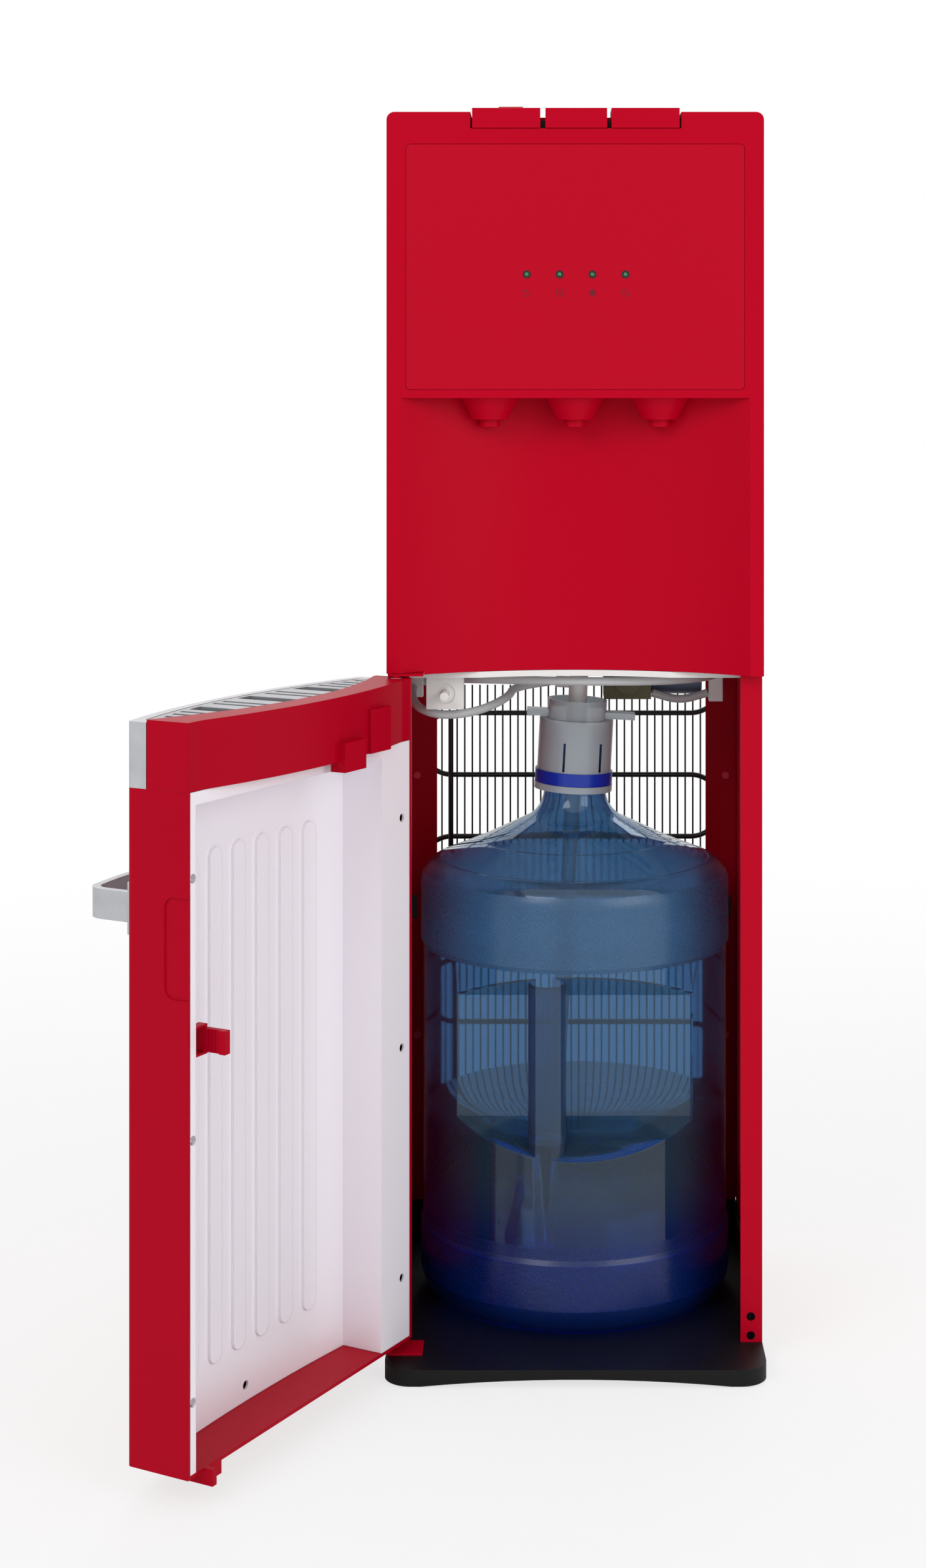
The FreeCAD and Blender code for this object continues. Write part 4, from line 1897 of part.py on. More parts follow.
for make in (
    make_base,
    make_sides,
    make_rear,
    make_rear_fittings,
    make_front,
    make_spouts,
    make_buttons,
    make_top,
    make_hinges,
    make_door_shell,
    make_door_top,
    make_liner,
    make_door_fittings,
    make_shelf,
    make_water,
    make_condenser,
    make_bottle,
    make_probe,
    make_machine,
):
    make()
doc.recompute()

for item in doc.Objects:
    if {"Invalid", "Error"} & set(item.State):
        raise ValueError(f"{item.Name} is not computed: {item.State}")
os.makedirs("parts", exist_ok=True)
for item in nodes:
    shape = item.Shape
    if shape.isNull() or not shape.isValid() or shape.Volume <= 0:
        raise ValueError(f"{item.Label} has no sound shape")
    print(f"{item.Label}: {len(shape.Solids)} solid(s), {shape.Volume / 1000:.1f} cm3")
for item in nodes:
    item.Shape.exportStep(f"parts/{item.Label}.step")
print(f"{len(nodes)} pieces written")
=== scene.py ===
"""The looks of a bottom-load water cooler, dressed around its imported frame.

Everything is in metres on the frame's own axes: Z is up, the front faces -Y and
the origin lies on the floor under the middle of the base.
"""

import logging
import math
from dataclasses import dataclass, field
from enum import Enum
from typing import Iterable, Sequence

import bmesh
import bpy
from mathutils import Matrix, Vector

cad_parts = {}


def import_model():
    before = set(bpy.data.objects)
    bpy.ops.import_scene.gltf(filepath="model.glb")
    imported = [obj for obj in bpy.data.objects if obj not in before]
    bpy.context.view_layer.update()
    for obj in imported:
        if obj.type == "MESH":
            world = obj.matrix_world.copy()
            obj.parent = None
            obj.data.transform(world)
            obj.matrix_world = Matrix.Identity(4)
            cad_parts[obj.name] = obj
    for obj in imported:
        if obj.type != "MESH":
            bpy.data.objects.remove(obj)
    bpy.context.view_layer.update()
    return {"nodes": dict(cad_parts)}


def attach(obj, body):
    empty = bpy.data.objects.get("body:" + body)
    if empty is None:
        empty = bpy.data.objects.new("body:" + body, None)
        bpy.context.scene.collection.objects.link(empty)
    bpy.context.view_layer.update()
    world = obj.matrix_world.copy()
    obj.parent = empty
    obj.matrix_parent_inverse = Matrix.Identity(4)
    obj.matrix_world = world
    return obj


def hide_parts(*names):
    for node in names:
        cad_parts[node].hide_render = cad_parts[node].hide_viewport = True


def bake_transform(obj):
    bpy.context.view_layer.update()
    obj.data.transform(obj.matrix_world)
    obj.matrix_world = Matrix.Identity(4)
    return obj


LOG = logging.getLogger("cooler")

Rgba = tuple[float, float, float, float]
Point = tuple[float, float, float]
Term = "Value | float | Rgba | Point"

MM = 0.001
FULL_TURN = 2.0 * math.pi


def srgb(red: int, green: int, blue: int) -> Rgba:
    """A colour written as sRGB bytes, as the linear colour that shaders take.

    Args:
        red: the red byte.
        green: the green byte.
        blue: the blue byte.

    Returns:
        The linear colour with an alpha of one.
    """
    toe, slope, offset, power = 0.04045, 12.92, 0.055, 2.4

    def linear(byte: int) -> float:
        """One channel from its sRGB byte to linear light."""
        level = byte / 255
        if level <= toe:
            return level / slope
        return ((level + offset) / (1 + offset)) ** power

    return linear(red), linear(green), linear(blue), 1.0


def shaded(colour: Rgba, share: float) -> Rgba:
    """A colour made darker by a share of itself.

    Args:
        colour: the linear colour.
        share: how much darker it gets, from nought to one.

    Returns:
        The darker colour with an alpha of one.
    """
    red, green, blue = (level * (1 - share) for level in colour[:3])
    return red, green, blue, 1.0


# ---------------------------------------------------------------- shader words


class Value:
    """One shader socket; arithmetic on it adds Math nodes."""

    def __init__(self, recipe: "Recipe", socket: bpy.types.NodeSocket) -> None:
        """Keeps the socket and the recipe that it belongs to."""
        self.recipe = recipe
        self.socket = socket

    def math(self, operation: str, *terms: Term) -> "Value":
        """Adds a Math node.

        Args:
            operation: the Math node's operation.
            terms: its inputs in order.

        Returns:
            The node's result.
        """
        inputs = dict(enumerate(terms))
        return self.recipe.node("ShaderNodeMath", {"operation": operation}, inputs)

    def __add__(self, other: Term) -> "Value":
        """self + other."""
        return self.math("ADD", self, other)

    __radd__ = __add__

    def __sub__(self, other: Term) -> "Value":
        """self - other."""
        return self.math("SUBTRACT", self, other)

    def __rsub__(self, other: Term) -> "Value":
        """other - self."""
        return self.math("SUBTRACT", other, self)

    def __mul__(self, other: Term) -> "Value":
        """self * other."""
        return self.math("MULTIPLY", self, other)

    __rmul__ = __mul__

    def above(self, limit: Term) -> "Value":
        """One where the value is over the limit, else nought."""
        return self.math("GREATER_THAN", self, limit)

    def below(self, limit: Term) -> "Value":
        """One where the value is under the limit, else nought."""
        return self.math("LESS_THAN", self, limit)

    def within(self, low: float, high: float) -> "Value":
        """One between two limits, else nought."""
        return self.above(low) * self.below(high)

    def most(self, other: Term) -> "Value":
        """The larger of the two."""
        return self.math("MAXIMUM", self, other)


class Recipe:
    """A shader tree while it is being written."""

    def __init__(self, name: str) -> None:
        """Makes an empty material of that name."""
        self.material = bpy.data.materials.new(name)
        self.material.use_nodes = True
        self.tree = self.material.node_tree
        self.tree.nodes.clear()

    def node(
        self,
        kind: str,
        settings: dict[str, object] | None = None,
        inputs: dict[str | int, Term] | None = None,
        output: str | int = 0,
    ) -> Value:
        """Adds any node.

        Args:
            kind: the node's type.
            settings: its own settings, and a ramp's stops as (place, colour) pairs.
            inputs: the value or the link of each socket that is set.
            output: which of its outputs is wanted.

        Returns:
            That output.
        """
        made = self.tree.nodes.new(kind)
        for name, setting in (settings or {}).items():
            if name == "stops":
                self._stops(made.color_ramp, setting)
            else:
                setattr(made, name, setting)
        for key, term in (inputs or {}).items():
            if isinstance(term, Value):
                self.tree.links.new(term.socket, made.inputs[key])
            else:
                made.inputs[key].default_value = term
        return Value(self, made.outputs[output] if made.outputs else None)

    @staticmethod
    def _stops(ramp: bpy.types.ColorRamp, stops: Sequence[tuple[float, Rgba]]) -> None:
        """Writes a ramp's stops, the two that it starts with first."""
        for number, (place, colour) in enumerate(stops):
            fresh = number >= len(ramp.elements)
            stop = ramp.elements.new(place) if fresh else ramp.elements[number]
            stop.position = place
            stop.color = colour

    def place(self) -> Value:
        """The point on the piece, in metres."""
        return self.node("ShaderNodeTexCoord", output="Object")

    def axis(self, letter: str) -> Value:
        """The point's X, Y or Z."""
        return self.node("ShaderNodeSeparateXYZ", None, {0: self.place()}, letter)

    def noise(
        self, scale: float, detail: float = 2.0, stretch: Point = (1.0, 1.0, 1.0)
    ) -> Value:
        """Smooth noise on the piece.

        Args:
            scale: cells for each metre.
            detail: how many octaves.
            stretch: how much denser the cells are along each axis.

        Returns:
            The noise from nought to one.
        """
        shape = {"Vector": self.place(), "Scale": stretch}
        point = self.node("ShaderNodeMapping", None, shape)
        cells = {"Vector": point, "Scale": scale, "Detail": detail}
        return self.node("ShaderNodeTexNoise", None, cells, "Fac")

    def mix(self, share: Term, first: Term, second: Term) -> Value:
        """A colour between two.

        Args:
            share: how much of the second.
            first: the colour at nought.
            second: the colour at one.

        Returns:
            The mixed colour.
        """
        factor, one, two, result = 0, 6, 7, 2
        inputs = {factor: share, one: first, two: second}
        return self.node("ShaderNodeMix", {"data_type": "RGBA"}, inputs, result)

    def grade(self, value: Value, low: float, high: float) -> Value:
        """A value from nought to one spread between two numbers."""
        return value * (high - low) + low

    def ease(self, value: Value, start: float, end: float) -> Value:
        """Nought before the start, one past the end, smooth between them."""
        settings = {"interpolation_type": "SMOOTHSTEP"}
        inputs = {"Value": value, "From Min": start, "From Max": end}
        return self.node("ShaderNodeMapRange", settings, inputs)

    def bump(self, height: Value, depth: float, edge: float = 0.0) -> Value:
        """A bumped normal.

        Args:
            height: the relief from nought to one.
            depth: its height in metres.
            edge: the radius that sharp edges are softened to in the light.

        Returns:
            The normal.
        """
        inputs = {"Height": height, "Distance": depth, "Strength": 1.0}
        if edge:
            settings = {"samples": 4}
            inputs["Normal"] = self.node("ShaderNodeBevel", settings, {"Radius": edge})
        return self.node("ShaderNodeBump", None, inputs)

    def surface(self, inputs: dict[str | int, Term]) -> bpy.types.Material:
        """Ends the recipe in one Principled shader.

        Args:
            inputs: the value or the link of each of its sockets that is set.

        Returns:
            The material.
        """
        shader = self.node("ShaderNodeBsdfPrincipled", None, inputs)
        self.node("ShaderNodeOutputMaterial", None, {"Surface": shader})
        return self.material


# -------------------------------------------------------------------- finishes


@dataclass(frozen=True)
class Moulding:
    """Moulded plastic: a fine sparked grain, faint flow clouds, uneven polish."""

    name: str
    colour: Rgba
    polish: float = 0.34
    cloud: float = 0.05
    grain: float = 1400.0
    depth: float = 0.006 * MM
    edge: float = 0.6 * MM
    shine: float = 0.5
    cloud_scale: float = 9.0
    cloud_stretch: Point = (1.0, 1.0, 0.5)
    dulling: float = 0.07

    def material(self) -> bpy.types.Material:
        """Writes the material."""
        recipe = Recipe(self.name)
        flow = recipe.noise(self.cloud_scale, 3.0, self.cloud_stretch)
        dark = shaded(self.colour, self.cloud)
        grain = recipe.noise(self.grain, 1.0)
        return recipe.surface(
            {
                "Base Color": recipe.mix(flow, self.colour, dark),
                "Roughness": recipe.grade(flow, self.polish, self.polish + self.dulling),
                "Normal": recipe.bump(grain, self.depth, self.edge),
                "Specular IOR Level": self.shine,
            }
        )


@dataclass(frozen=True)
class Enamel:
    """Stoved enamel on steel: orange peel and a soft gloss."""

    name: str
    colour: Rgba
    polish: float = 0.36
    peel: float = 260.0
    depth: float = 0.02 * MM
    edge: float = 0.5 * MM
    shine: float = 0.5
    shade: float = 0.07
    shade_scale: float = 5.0
    dulling: float = 0.06

    def material(self) -> bpy.types.Material:
        """Writes the material."""
        recipe = Recipe(self.name)
        peel = recipe.noise(self.peel, 2.0)
        drift = recipe.noise(self.shade_scale, 2.0)
        dark = shaded(self.colour, self.shade)
        return recipe.surface(
            {
                "Base Color": recipe.mix(drift, self.colour, dark),
                "Roughness": recipe.grade(peel, self.polish, self.polish + self.dulling),
                "Normal": recipe.bump(peel, self.depth, self.edge),
                "Specular IOR Level": self.shine,
            }
        )


@dataclass(frozen=True)
class Steel:
    """Bare or plated metal with the fine lines of rolling or brushing."""

    name: str
    colour: Rgba
    polish: float = 0.3
    lines: Point = (1.0, 1.0, 30.0)
    scale: float = 60.0
    depth: float = 0.006 * MM
    metal: float = 1.0
    stain: float = 0.18
    stain_scale: float = 35.0
    dulling: float = 0.16
    edge: float = 0.4 * MM

    def material(self) -> bpy.types.Material:
        """Writes the material."""
        recipe = Recipe(self.name)
        lines = recipe.noise(self.scale, 3.0, self.lines)
        patch = recipe.noise(self.stain_scale, 4.0)
        dark = shaded(self.colour, self.stain)
        return recipe.surface(
            {
                "Base Color": recipe.mix(patch, self.colour, dark),
                "Roughness": recipe.grade(lines, self.polish, self.polish + self.dulling),
                "Metallic": self.metal,
                "Normal": recipe.bump(lines, self.depth, self.edge),
            }
        )


@dataclass(frozen=True)
class SilverPaint:
    """Silver paint on plastic: metal flake, faint brushing, dulled patches."""

    name: str
    colour: Rgba = srgb(208, 210, 213)
    metal: float = 0.55
    polish: float = 0.3
    flake_scale: float = 2600.0
    flake_gain: float = 0.3
    brush_scale: float = 90.0
    brush_stretch: Point = (1.0, 1.0, 14.0)
    patch_scale: float = 48.0
    patch_share: float = 0.6
    patch_colour: Rgba = srgb(150, 153, 158)
    dulling: float = 0.2
    depth: float = 0.01 * MM
    edge: float = 0.6 * MM

    def material(self) -> bpy.types.Material:
        """Writes the material."""
        recipe = Recipe(self.name)
        flake = recipe.noise(self.flake_scale, 0.0)
        brush = recipe.noise(self.brush_scale, 3.0, self.brush_stretch)
        patch = recipe.noise(self.patch_scale, 4.0)
        worn = patch * self.patch_share
        return recipe.surface(
            {
                "Base Color": recipe.mix(worn, self.colour, self.patch_colour),
                "Roughness": recipe.grade(brush, self.polish, self.polish + self.dulling),
                "Metallic": recipe.grade(flake, self.metal, self.metal + self.flake_gain),
                "Normal": recipe.bump(brush, self.depth, self.edge),
            }
        )


@dataclass(frozen=True)
class ClearPlastic:
    """Clear or tinted plastic, with optional misty bands at given heights."""

    name: str
    colour: Rgba
    polish: float = 0.04
    mist: float = 0.3
    bands: tuple[tuple[float, float], ...] = ()
    transmission: float = 1.0
    ripple: float = 0.05 * MM
    ripple_scale: float = 28.0
    index: float = 1.46
    foot: Rgba | None = None
    foot_top: tuple[float, float] = (0.075, 0.15)
    stipple_scale: float = 1100.0
    stipple_share: float = 0.9
    least_mist: float = 0.6
    ripple_stretch: Point = (1.0, 1.0, 0.35)

    def material(self) -> bpy.types.Material:
        """Writes the material."""
        recipe = Recipe(self.name)
        height = recipe.axis("Z")
        flow = recipe.noise(self.ripple_scale, 2.0, self.ripple_stretch)
        stipple = recipe.noise(self.stipple_scale, 1.0)
        clear = recipe.ease(height, *self.foot_top)
        misty = height.within(0.0, 0.0)
        for low, high in self.bands:
            misty = misty.most(height.within(low, high))
        relief = flow + misty * stipple * self.stipple_share
        haze = misty * recipe.grade(stipple, self.least_mist * self.mist, self.mist)
        return recipe.surface(
            {
                "Base Color": recipe.mix(clear, self.foot or self.colour, self.colour),
                "Roughness": haze + self.polish,
                "Normal": recipe.bump(relief, self.ripple),
                "Transmission Weight": self.transmission,
                "IOR": self.index,
            }
        )


@dataclass(frozen=True)
class Foam:
    """Moulded bead foam: round beads with darker joints between them."""

    name: str
    colour: Rgba = srgb(232, 232, 226)
    beads: float = 260.0
    joint_colour: Rgba = srgb(186, 186, 178)
    joint_reach: tuple[float, float] = (0.3, 0.75)
    polish: tuple[float, float] = (0.7, 0.85)
    depth: float = 0.25 * MM

    def material(self) -> bpy.types.Material:
        """Writes the material."""
        recipe = Recipe(self.name)
        inputs = {"Vector": recipe.place(), "Scale": self.beads}
        bead = recipe.node("ShaderNodeTexVoronoi", None, inputs, "Distance")
        joint = recipe.ease(bead, *self.joint_reach)
        return recipe.surface(
            {
                "Base Color": recipe.mix(joint, self.colour, self.joint_colour),
                "Roughness": recipe.grade(joint, *self.polish),
                "Normal": recipe.bump(1 - joint, self.depth),
            }
        )


@dataclass(frozen=True)
class Glow:
    """A lit status light: a clear lens over a glowing, speckled die."""

    name: str
    colour: Rgba
    strength: float = 0.3
    die: Rgba = srgb(14, 16, 15)
    die_scale: float = 420.0
    polish: float = 0.08

    def material(self) -> bpy.types.Material:
        """Writes the material."""
        recipe = Recipe(self.name)
        spot = recipe.noise(self.die_scale, 1.0)
        core = recipe.mix(spot, self.colour, self.die)
        return recipe.surface(
            {
                "Base Color": core,
                "Roughness": self.polish,
                "Emission Color": core,
                "Emission Strength": self.strength,
                "Coat Weight": 1.0,
            }
        )


RED = srgb(190, 0, 34)
RED_DOOR = srgb(180, 0, 32)
LINER_WHITE = srgb(250, 245, 252)
BLACK = srgb(22, 22, 24)


class Finish(Enum):
    """The finishes of this cooler."""

    RED_MOULDING = Moulding("red_moulding", RED, shine=0.06)
    RED_PANEL = Moulding("red_panel", RED, polish=0.28, shine=0.1)
    RED_ENAMEL = Enamel("red_enamel", RED, shine=0.08)
    RED_DOOR = Moulding("red_door", RED_DOOR, shine=0.06)
    BLACK_TRAY = Moulding("black_tray", srgb(13, 13, 14), 0.46, 0.1, 700.0, 0.02 * MM, shine=0.25)
    BLACK_PLASTIC = Moulding("black_plastic", BLACK, 0.4, 0.1)
    BLACK_RUBBER = Moulding("black_rubber", srgb(28, 28, 28), 0.75, 0.2, 500.0, 0.04 * MM)
    BLACK_ENAMEL = Enamel("black_enamel", srgb(16, 16, 18), 0.3, edge=0.0)
    LINER = Moulding("liner_white", LINER_WHITE, 0.22, 0.03, 900.0, 0.004 * MM, 1.0 * MM)
    WHITE = Moulding("white_moulding", srgb(238, 238, 236), 0.3, 0.04)
    MILKY = Moulding("milky_moulding", srgb(206, 209, 208), 0.4, 0.08)
    SILICONE = Moulding("silicone", srgb(196, 199, 200), 0.35, 0.12, 240.0, edge=0.0)
    OLIVE = Moulding("olive_moulding", srgb(104, 102, 66), 0.45, 0.15)
    BLUE_RING = Moulding("blue_ring", srgb(0, 48, 172), 0.25, 0.08)
    MOTOR = Enamel("motor_enamel", srgb(98, 112, 134), 0.35)
    GREEN_ROCKER = Moulding("green_rocker", srgb(14, 122, 62), 0.25, 0.04)
    RED_ROCKER = Moulding("red_rocker", srgb(190, 14, 18), 0.25, 0.04)
    SILVER = SilverPaint("silver_paint")
    SILVER_GRILLE = SilverPaint("silver_grille", srgb(172, 174, 178))
    STAINLESS = Steel("stainless", srgb(190, 190, 188), 0.22)
    GALVANISED = Steel("galvanised", srgb(178, 182, 185), 0.38, (1.0, 1.0, 1.0), 40.0)
    FOAM = Foam("bead_foam")
    BOTTLE = ClearPlastic(
        "bottle_blue",
        srgb(122, 168, 204),
        bands=((0.3195, 0.3815), (0.040, 0.092)),
        transmission=0.92,
        foot=srgb(26, 104, 226),
    )
    CAP = ClearPlastic("cap_grey", srgb(214, 224, 230), 0.26, transmission=0.55)
    TUBE = ClearPlastic("tube_clear", srgb(226, 232, 236), 0.1)
    WATER = ClearPlastic("water", srgb(196, 222, 244), 0.0, ripple=0.0, index=1.33)
    # Lighter and shinier than the cabinet red: a painted highlight that makes the screw heads
    # show as bright dots.
    RED_SCREW_PAINTED_HIGHLIGHT = Moulding("red_screw_painted_highlight", srgb(232, 34, 78), 0.3, shine=0.4)
    GREEN_LIGHT = Glow("green_light", srgb(24, 120, 66))
    PRINT = Moulding("black_print", srgb(48, 6, 16), 0.5, 0.05, edge=0.0)
    # Near black and dull: painted shade for the inside of the drip tray under the grille.
    DARK = Moulding("painted_shade_tray_moulding", srgb(15, 15, 17), 0.6, 0.1, shine=0.2)

    def coat(self) -> bpy.types.Material:
        """The finish's material, written the first time it is asked for."""
        known = bpy.data.materials.get(self.value.name)
        return known or self.value.material()


# --------------------------------------------------------- meshes and machines


def dress(node: bpy.types.Object, finish: Finish) -> None:
    """Puts a finish on every slot of a frame node."""
    for slot in node.material_slots:
        slot.material = finish.coat()


def keep(
    name: str, mesh: bpy.types.Mesh, body: str | None, finish: Finish
) -> bpy.types.Object:
    """Puts a finished mesh in the scene as a smooth-shaded piece.

    Args:
        name: the piece's name.
        mesh: its mesh, with its place in it.
        body: the body that carries it, or None to leave it attached to no body.
        finish: its finish.

    Returns:
        The piece.
    """
    mesh.name = name
    mesh.materials.clear()
    mesh.materials.append(finish.coat())
    mesh.polygons.foreach_set("use_smooth", [True] * len(mesh.polygons))
    piece = bpy.data.objects.new(name, mesh)
    bpy.context.collection.objects.link(piece)
    if body:
        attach(piece, body)
    LOG.info("%s: %d faces on %s", name, len(mesh.polygons), body)
    return piece


def plain_mesh(maker: bpy.types.Object) -> bpy.types.Mesh:
    """The evaluated mesh of an object, which is then taken away."""
    bpy.context.view_layer.update()
    graph = bpy.context.evaluated_depsgraph_get()
    mesh = bpy.data.meshes.new_from_object(maker.evaluated_get(graph))
    bpy.data.objects.remove(maker)
    return mesh


def spline_points(route: Sequence[Point]) -> list[Vector]:
    """The points of the smooth curve that a route's points steer.

    Args:
        route: the control points in metres.

    Returns:
        The curve's points in order.
    """
    curve = bpy.data.curves.new("route", "CURVE")
    curve.dimensions = "3D"
    curve.resolution_u = 16
    spline = curve.splines.new("NURBS")
    spline.points.add(len(route) - 1)
    for point, place in zip(spline.points, route):
        point.co = (*place, 1.0)
    spline.order_u = 3
    spline.use_endpoint_u = True
    maker = bpy.data.objects.new("route", curve)
    bpy.context.collection.objects.link(maker)
    return [vertex.co.copy() for vertex in plain_mesh(maker).vertices]


class Machine:
    """A Geometry Nodes tree while it is being built, with named inputs."""

    def __init__(self, name: str) -> None:
        """Starts a tree that takes and gives geometry."""
        self.tree = bpy.data.node_groups.new(name, "GeometryNodeTree")
        self.socket("Geometry", "NodeSocketGeometry")
        self.tree.interface.new_socket(
            "Geometry", in_out="OUTPUT", socket_type="NodeSocketGeometry"
        )
        self.entry = self.tree.nodes.new("NodeGroupInput")
        self.exit = self.tree.nodes.new("NodeGroupOutput")

    def socket(self, name: str, kind: str) -> None:
        """Adds a named input."""
        self.tree.interface.new_socket(name, in_out="INPUT", socket_type=kind)

    def node(
        self, kind: str, settings: dict[str, object], inputs: dict[str | int, object]
    ) -> bpy.types.Node:
        """Adds a node.

        Args:
            kind: the node's type.
            settings: its own settings.
            inputs: for each socket that is set, a value or another node's output.

        Returns:
            The node.
        """
        made = self.tree.nodes.new(kind)
        for name, setting in settings.items():
            setattr(made, name, setting)
        for key, term in inputs.items():
            if isinstance(term, bpy.types.NodeSocket):
                self.tree.links.new(term, made.inputs[key])
            else:
                made.inputs[key].default_value = term
        return made

    def close(self, geometry: bpy.types.NodeSocket) -> bpy.types.NodeTree:
        """Ends the tree in Realize Instances and Set Material."""
        real = self.node("GeometryNodeRealizeInstances", {}, {0: geometry})
        coat = self.node(
            "GeometryNodeSetMaterial",
            {},
            {"Geometry": real.outputs[0], "Material": self.entry.outputs["Material"]},
        )
        self.tree.links.new(coat.outputs[0], self.exit.inputs[0])
        return self.tree

    @staticmethod
    def run(
        tree: bpy.types.NodeTree, seed_mesh: bpy.types.Mesh, inputs: dict[str, object]
    ) -> bpy.types.Mesh:
        """Runs a tree on a mesh.

        Args:
            tree: the tree.
            seed_mesh: the mesh that it starts from.
            inputs: its named inputs.

        Returns:
            What it makes, as a plain mesh.
        """
        maker = bpy.data.objects.new("maker", seed_mesh)
        bpy.context.collection.objects.link(maker)
        modifier = maker.modifiers.new("machine", "NODES")
        modifier.node_group = tree
        for item in tree.interface.items_tree:
            if item.in_out == "INPUT" and item.name in inputs:
                modifier[item.identifier] = inputs[item.name]
        return plain_mesh(maker)


def bead_machine() -> bpy.types.NodeTree:
    """A tree that sweeps a round bead along the edges of a mesh."""
    machine = Machine("bead_along_path")
    machine.socket("Radius", "NodeSocketFloat")
    machine.socket("Sides", "NodeSocketInt")
    machine.socket("Material", "NodeSocketMaterial")
    ask = machine.entry.outputs
    path = machine.node("GeometryNodeMeshToCurve", {}, {"Mesh": ask["Geometry"]})
    ring = machine.node(
        "GeometryNodeCurvePrimitiveCircle",
        {"mode": "RADIUS"},
        {"Resolution": ask["Sides"], "Radius": ask["Radius"]},
    )
    swept = machine.node(
        "GeometryNodeCurveToMesh",
        {},
        {
            "Curve": path.outputs[0],
            "Profile Curve": ring.outputs[0],
            "Fill Caps": True,
        },
    )
    return machine.close(swept.outputs[0])


def chain_mesh(chains: Iterable[Sequence[Point]]) -> bpy.types.Mesh:
    """A mesh of edges alone.

    Args:
        chains: runs of points, each joined in order.

    Returns:
        The mesh.
    """
    points: list[Point] = []
    edges: list[tuple[int, int]] = []
    for chain in chains:
        first = len(points)
        points.extend(tuple(point) for point in chain)
        edges.extend((at, at + 1) for at in range(first, len(points) - 1))
    mesh = bpy.data.meshes.new("chains")
    mesh.from_pydata(points, edges, [])
    return mesh


# ------------------------------------------------------------- the studio


@dataclass
class Studio:
    """The pale floor, the plain soft light and the camera."""

    eye: Point = (-0.026, -2.179, 0.8103)
    lens: float = 57.35
    sensor: float = 36.0
    shift: tuple[float, float] = (-0.0514, -0.2572)
    ambient: float = 0.66
    floor_half: float = 9.0
    floor_fade: tuple[float, float] = (0.6, 2.2)
    floor_lift: float = 0.72
    floor_grit: float = 30.0
    floor_colours: tuple[Rgba, Rgba] = (srgb(244, 244, 244), srgb(238, 238, 238))
    lamps: tuple[tuple[Point, float, float], ...] = (
        ((-1.7, -2.6, 2.3), 1.6, 26.0),
        ((1.9, -2.2, 1.5), 1.8, 20.0),
        ((0.2, 1.8, 2.4), 2.0, 16.0),
    )
    target: Point = (-0.05, -0.1, 0.5)

    def build(self) -> None:
        """Makes the camera, the lamps, the world and the floor."""
        self.camera()
        for number, (place, size, power) in enumerate(self.lamps):
            self.lamp(number, Vector(place), size, power)
        self.world()
        self.floor()
        bpy.context.scene.view_settings.view_transform = "Standard"

    def camera(self) -> None:
        """Sets the camera square on, shifted as the photograph is framed."""
        data = bpy.data.cameras.new("camera")
        data.sensor_fit = "VERTICAL"
        data.sensor_height = self.sensor
        data.lens = self.lens
        data.shift_x, data.shift_y = self.shift
        camera = bpy.data.objects.new("camera", data)
        camera.location = self.eye
        camera.rotation_euler = (math.pi / 2, 0.0, 0.0)
        bpy.context.collection.objects.link(camera)
        bpy.context.scene.camera = camera

    def lamp(self, number: int, place: Vector, size: float, power: float) -> None:
        """Adds a square softbox aimed at the cooler.

        Args:
            number: the lamp's number, for its name.
            place: where it stands.
            size: its side.
            power: its power in watts.
        """
        data = bpy.data.lights.new(f"softbox_{number}", "AREA")
        data.energy = power
        data.size = size
        lamp = bpy.data.objects.new(data.name, data)
        lamp.location = place
        aim = Vector(self.target) - place
        lamp.rotation_euler = aim.to_track_quat("-Z", "Y").to_euler()
        lamp.visible_camera = False
        bpy.context.collection.objects.link(lamp)

    def world(self) -> None:
        """White where it is seen, a plain grey where it only lights."""
        world = bpy.data.worlds.new("world")
        world.use_nodes = True
        bpy.context.scene.world = world
        tree = world.node_tree
        path = tree.nodes.new("ShaderNodeLightPath")
        seen = path.outputs["Is Camera Ray"]
        for output in ("Is Glossy Ray", "Is Transmission Ray"):
            either = tree.nodes.new("ShaderNodeMath")
            either.operation = "MAXIMUM"
            tree.links.new(seen, either.inputs[0])
            tree.links.new(path.outputs[output], either.inputs[1])
            seen = either.outputs[0]
        level = tree.nodes.new("ShaderNodeMapRange")
        level.inputs["To Min"].default_value = self.ambient
        tree.links.new(seen, level.inputs["Value"])
        background = tree.nodes["Background"]
        background.inputs["Color"].default_value = (1.0, 1.0, 1.0, 1.0)
        tree.links.new(level.outputs[0], background.inputs["Strength"])

    def floor(self) -> None:
        """A pale floor that keeps the shadow and fades to white away from it."""
        half = self.floor_half
        mesh = bpy.data.meshes.new("floor")
        corners = [(-half, -half, 0), (half, -half, 0), (half, half, 0), (-half, half, 0)]
        mesh.from_pydata(corners, [], [(0, 1, 2, 3)])
        floor = bpy.data.objects.new("floor", mesh)
        bpy.context.collection.objects.link(floor)
        recipe = Recipe("floor_white")
        spread = {"operation": "LENGTH"}
        reach = recipe.node("ShaderNodeVectorMath", spread, {0: recipe.place()}, "Value")
        far = recipe.ease(reach, *self.floor_fade)
        grit = recipe.noise(self.floor_grit, 3.0)
        seen = recipe.node("ShaderNodeLightPath", output="Is Camera Ray")
        matte = recipe.node(
            "ShaderNodeBsdfDiffuse",
            None,
            {"Color": recipe.mix(grit, *self.floor_colours)},
        )
        white = recipe.node("ShaderNodeEmission", None, {"Strength": 1.0})
        share = seen * recipe.grade(far, self.floor_lift, 1.0)
        both = recipe.node("ShaderNodeMixShader", None, {0: share, 1: matte, 2: white})
        recipe.node("ShaderNodeOutputMaterial", None, {"Surface": both})
        mesh.materials.append(recipe.material)


# ------------------------------------------------------------- the cooler


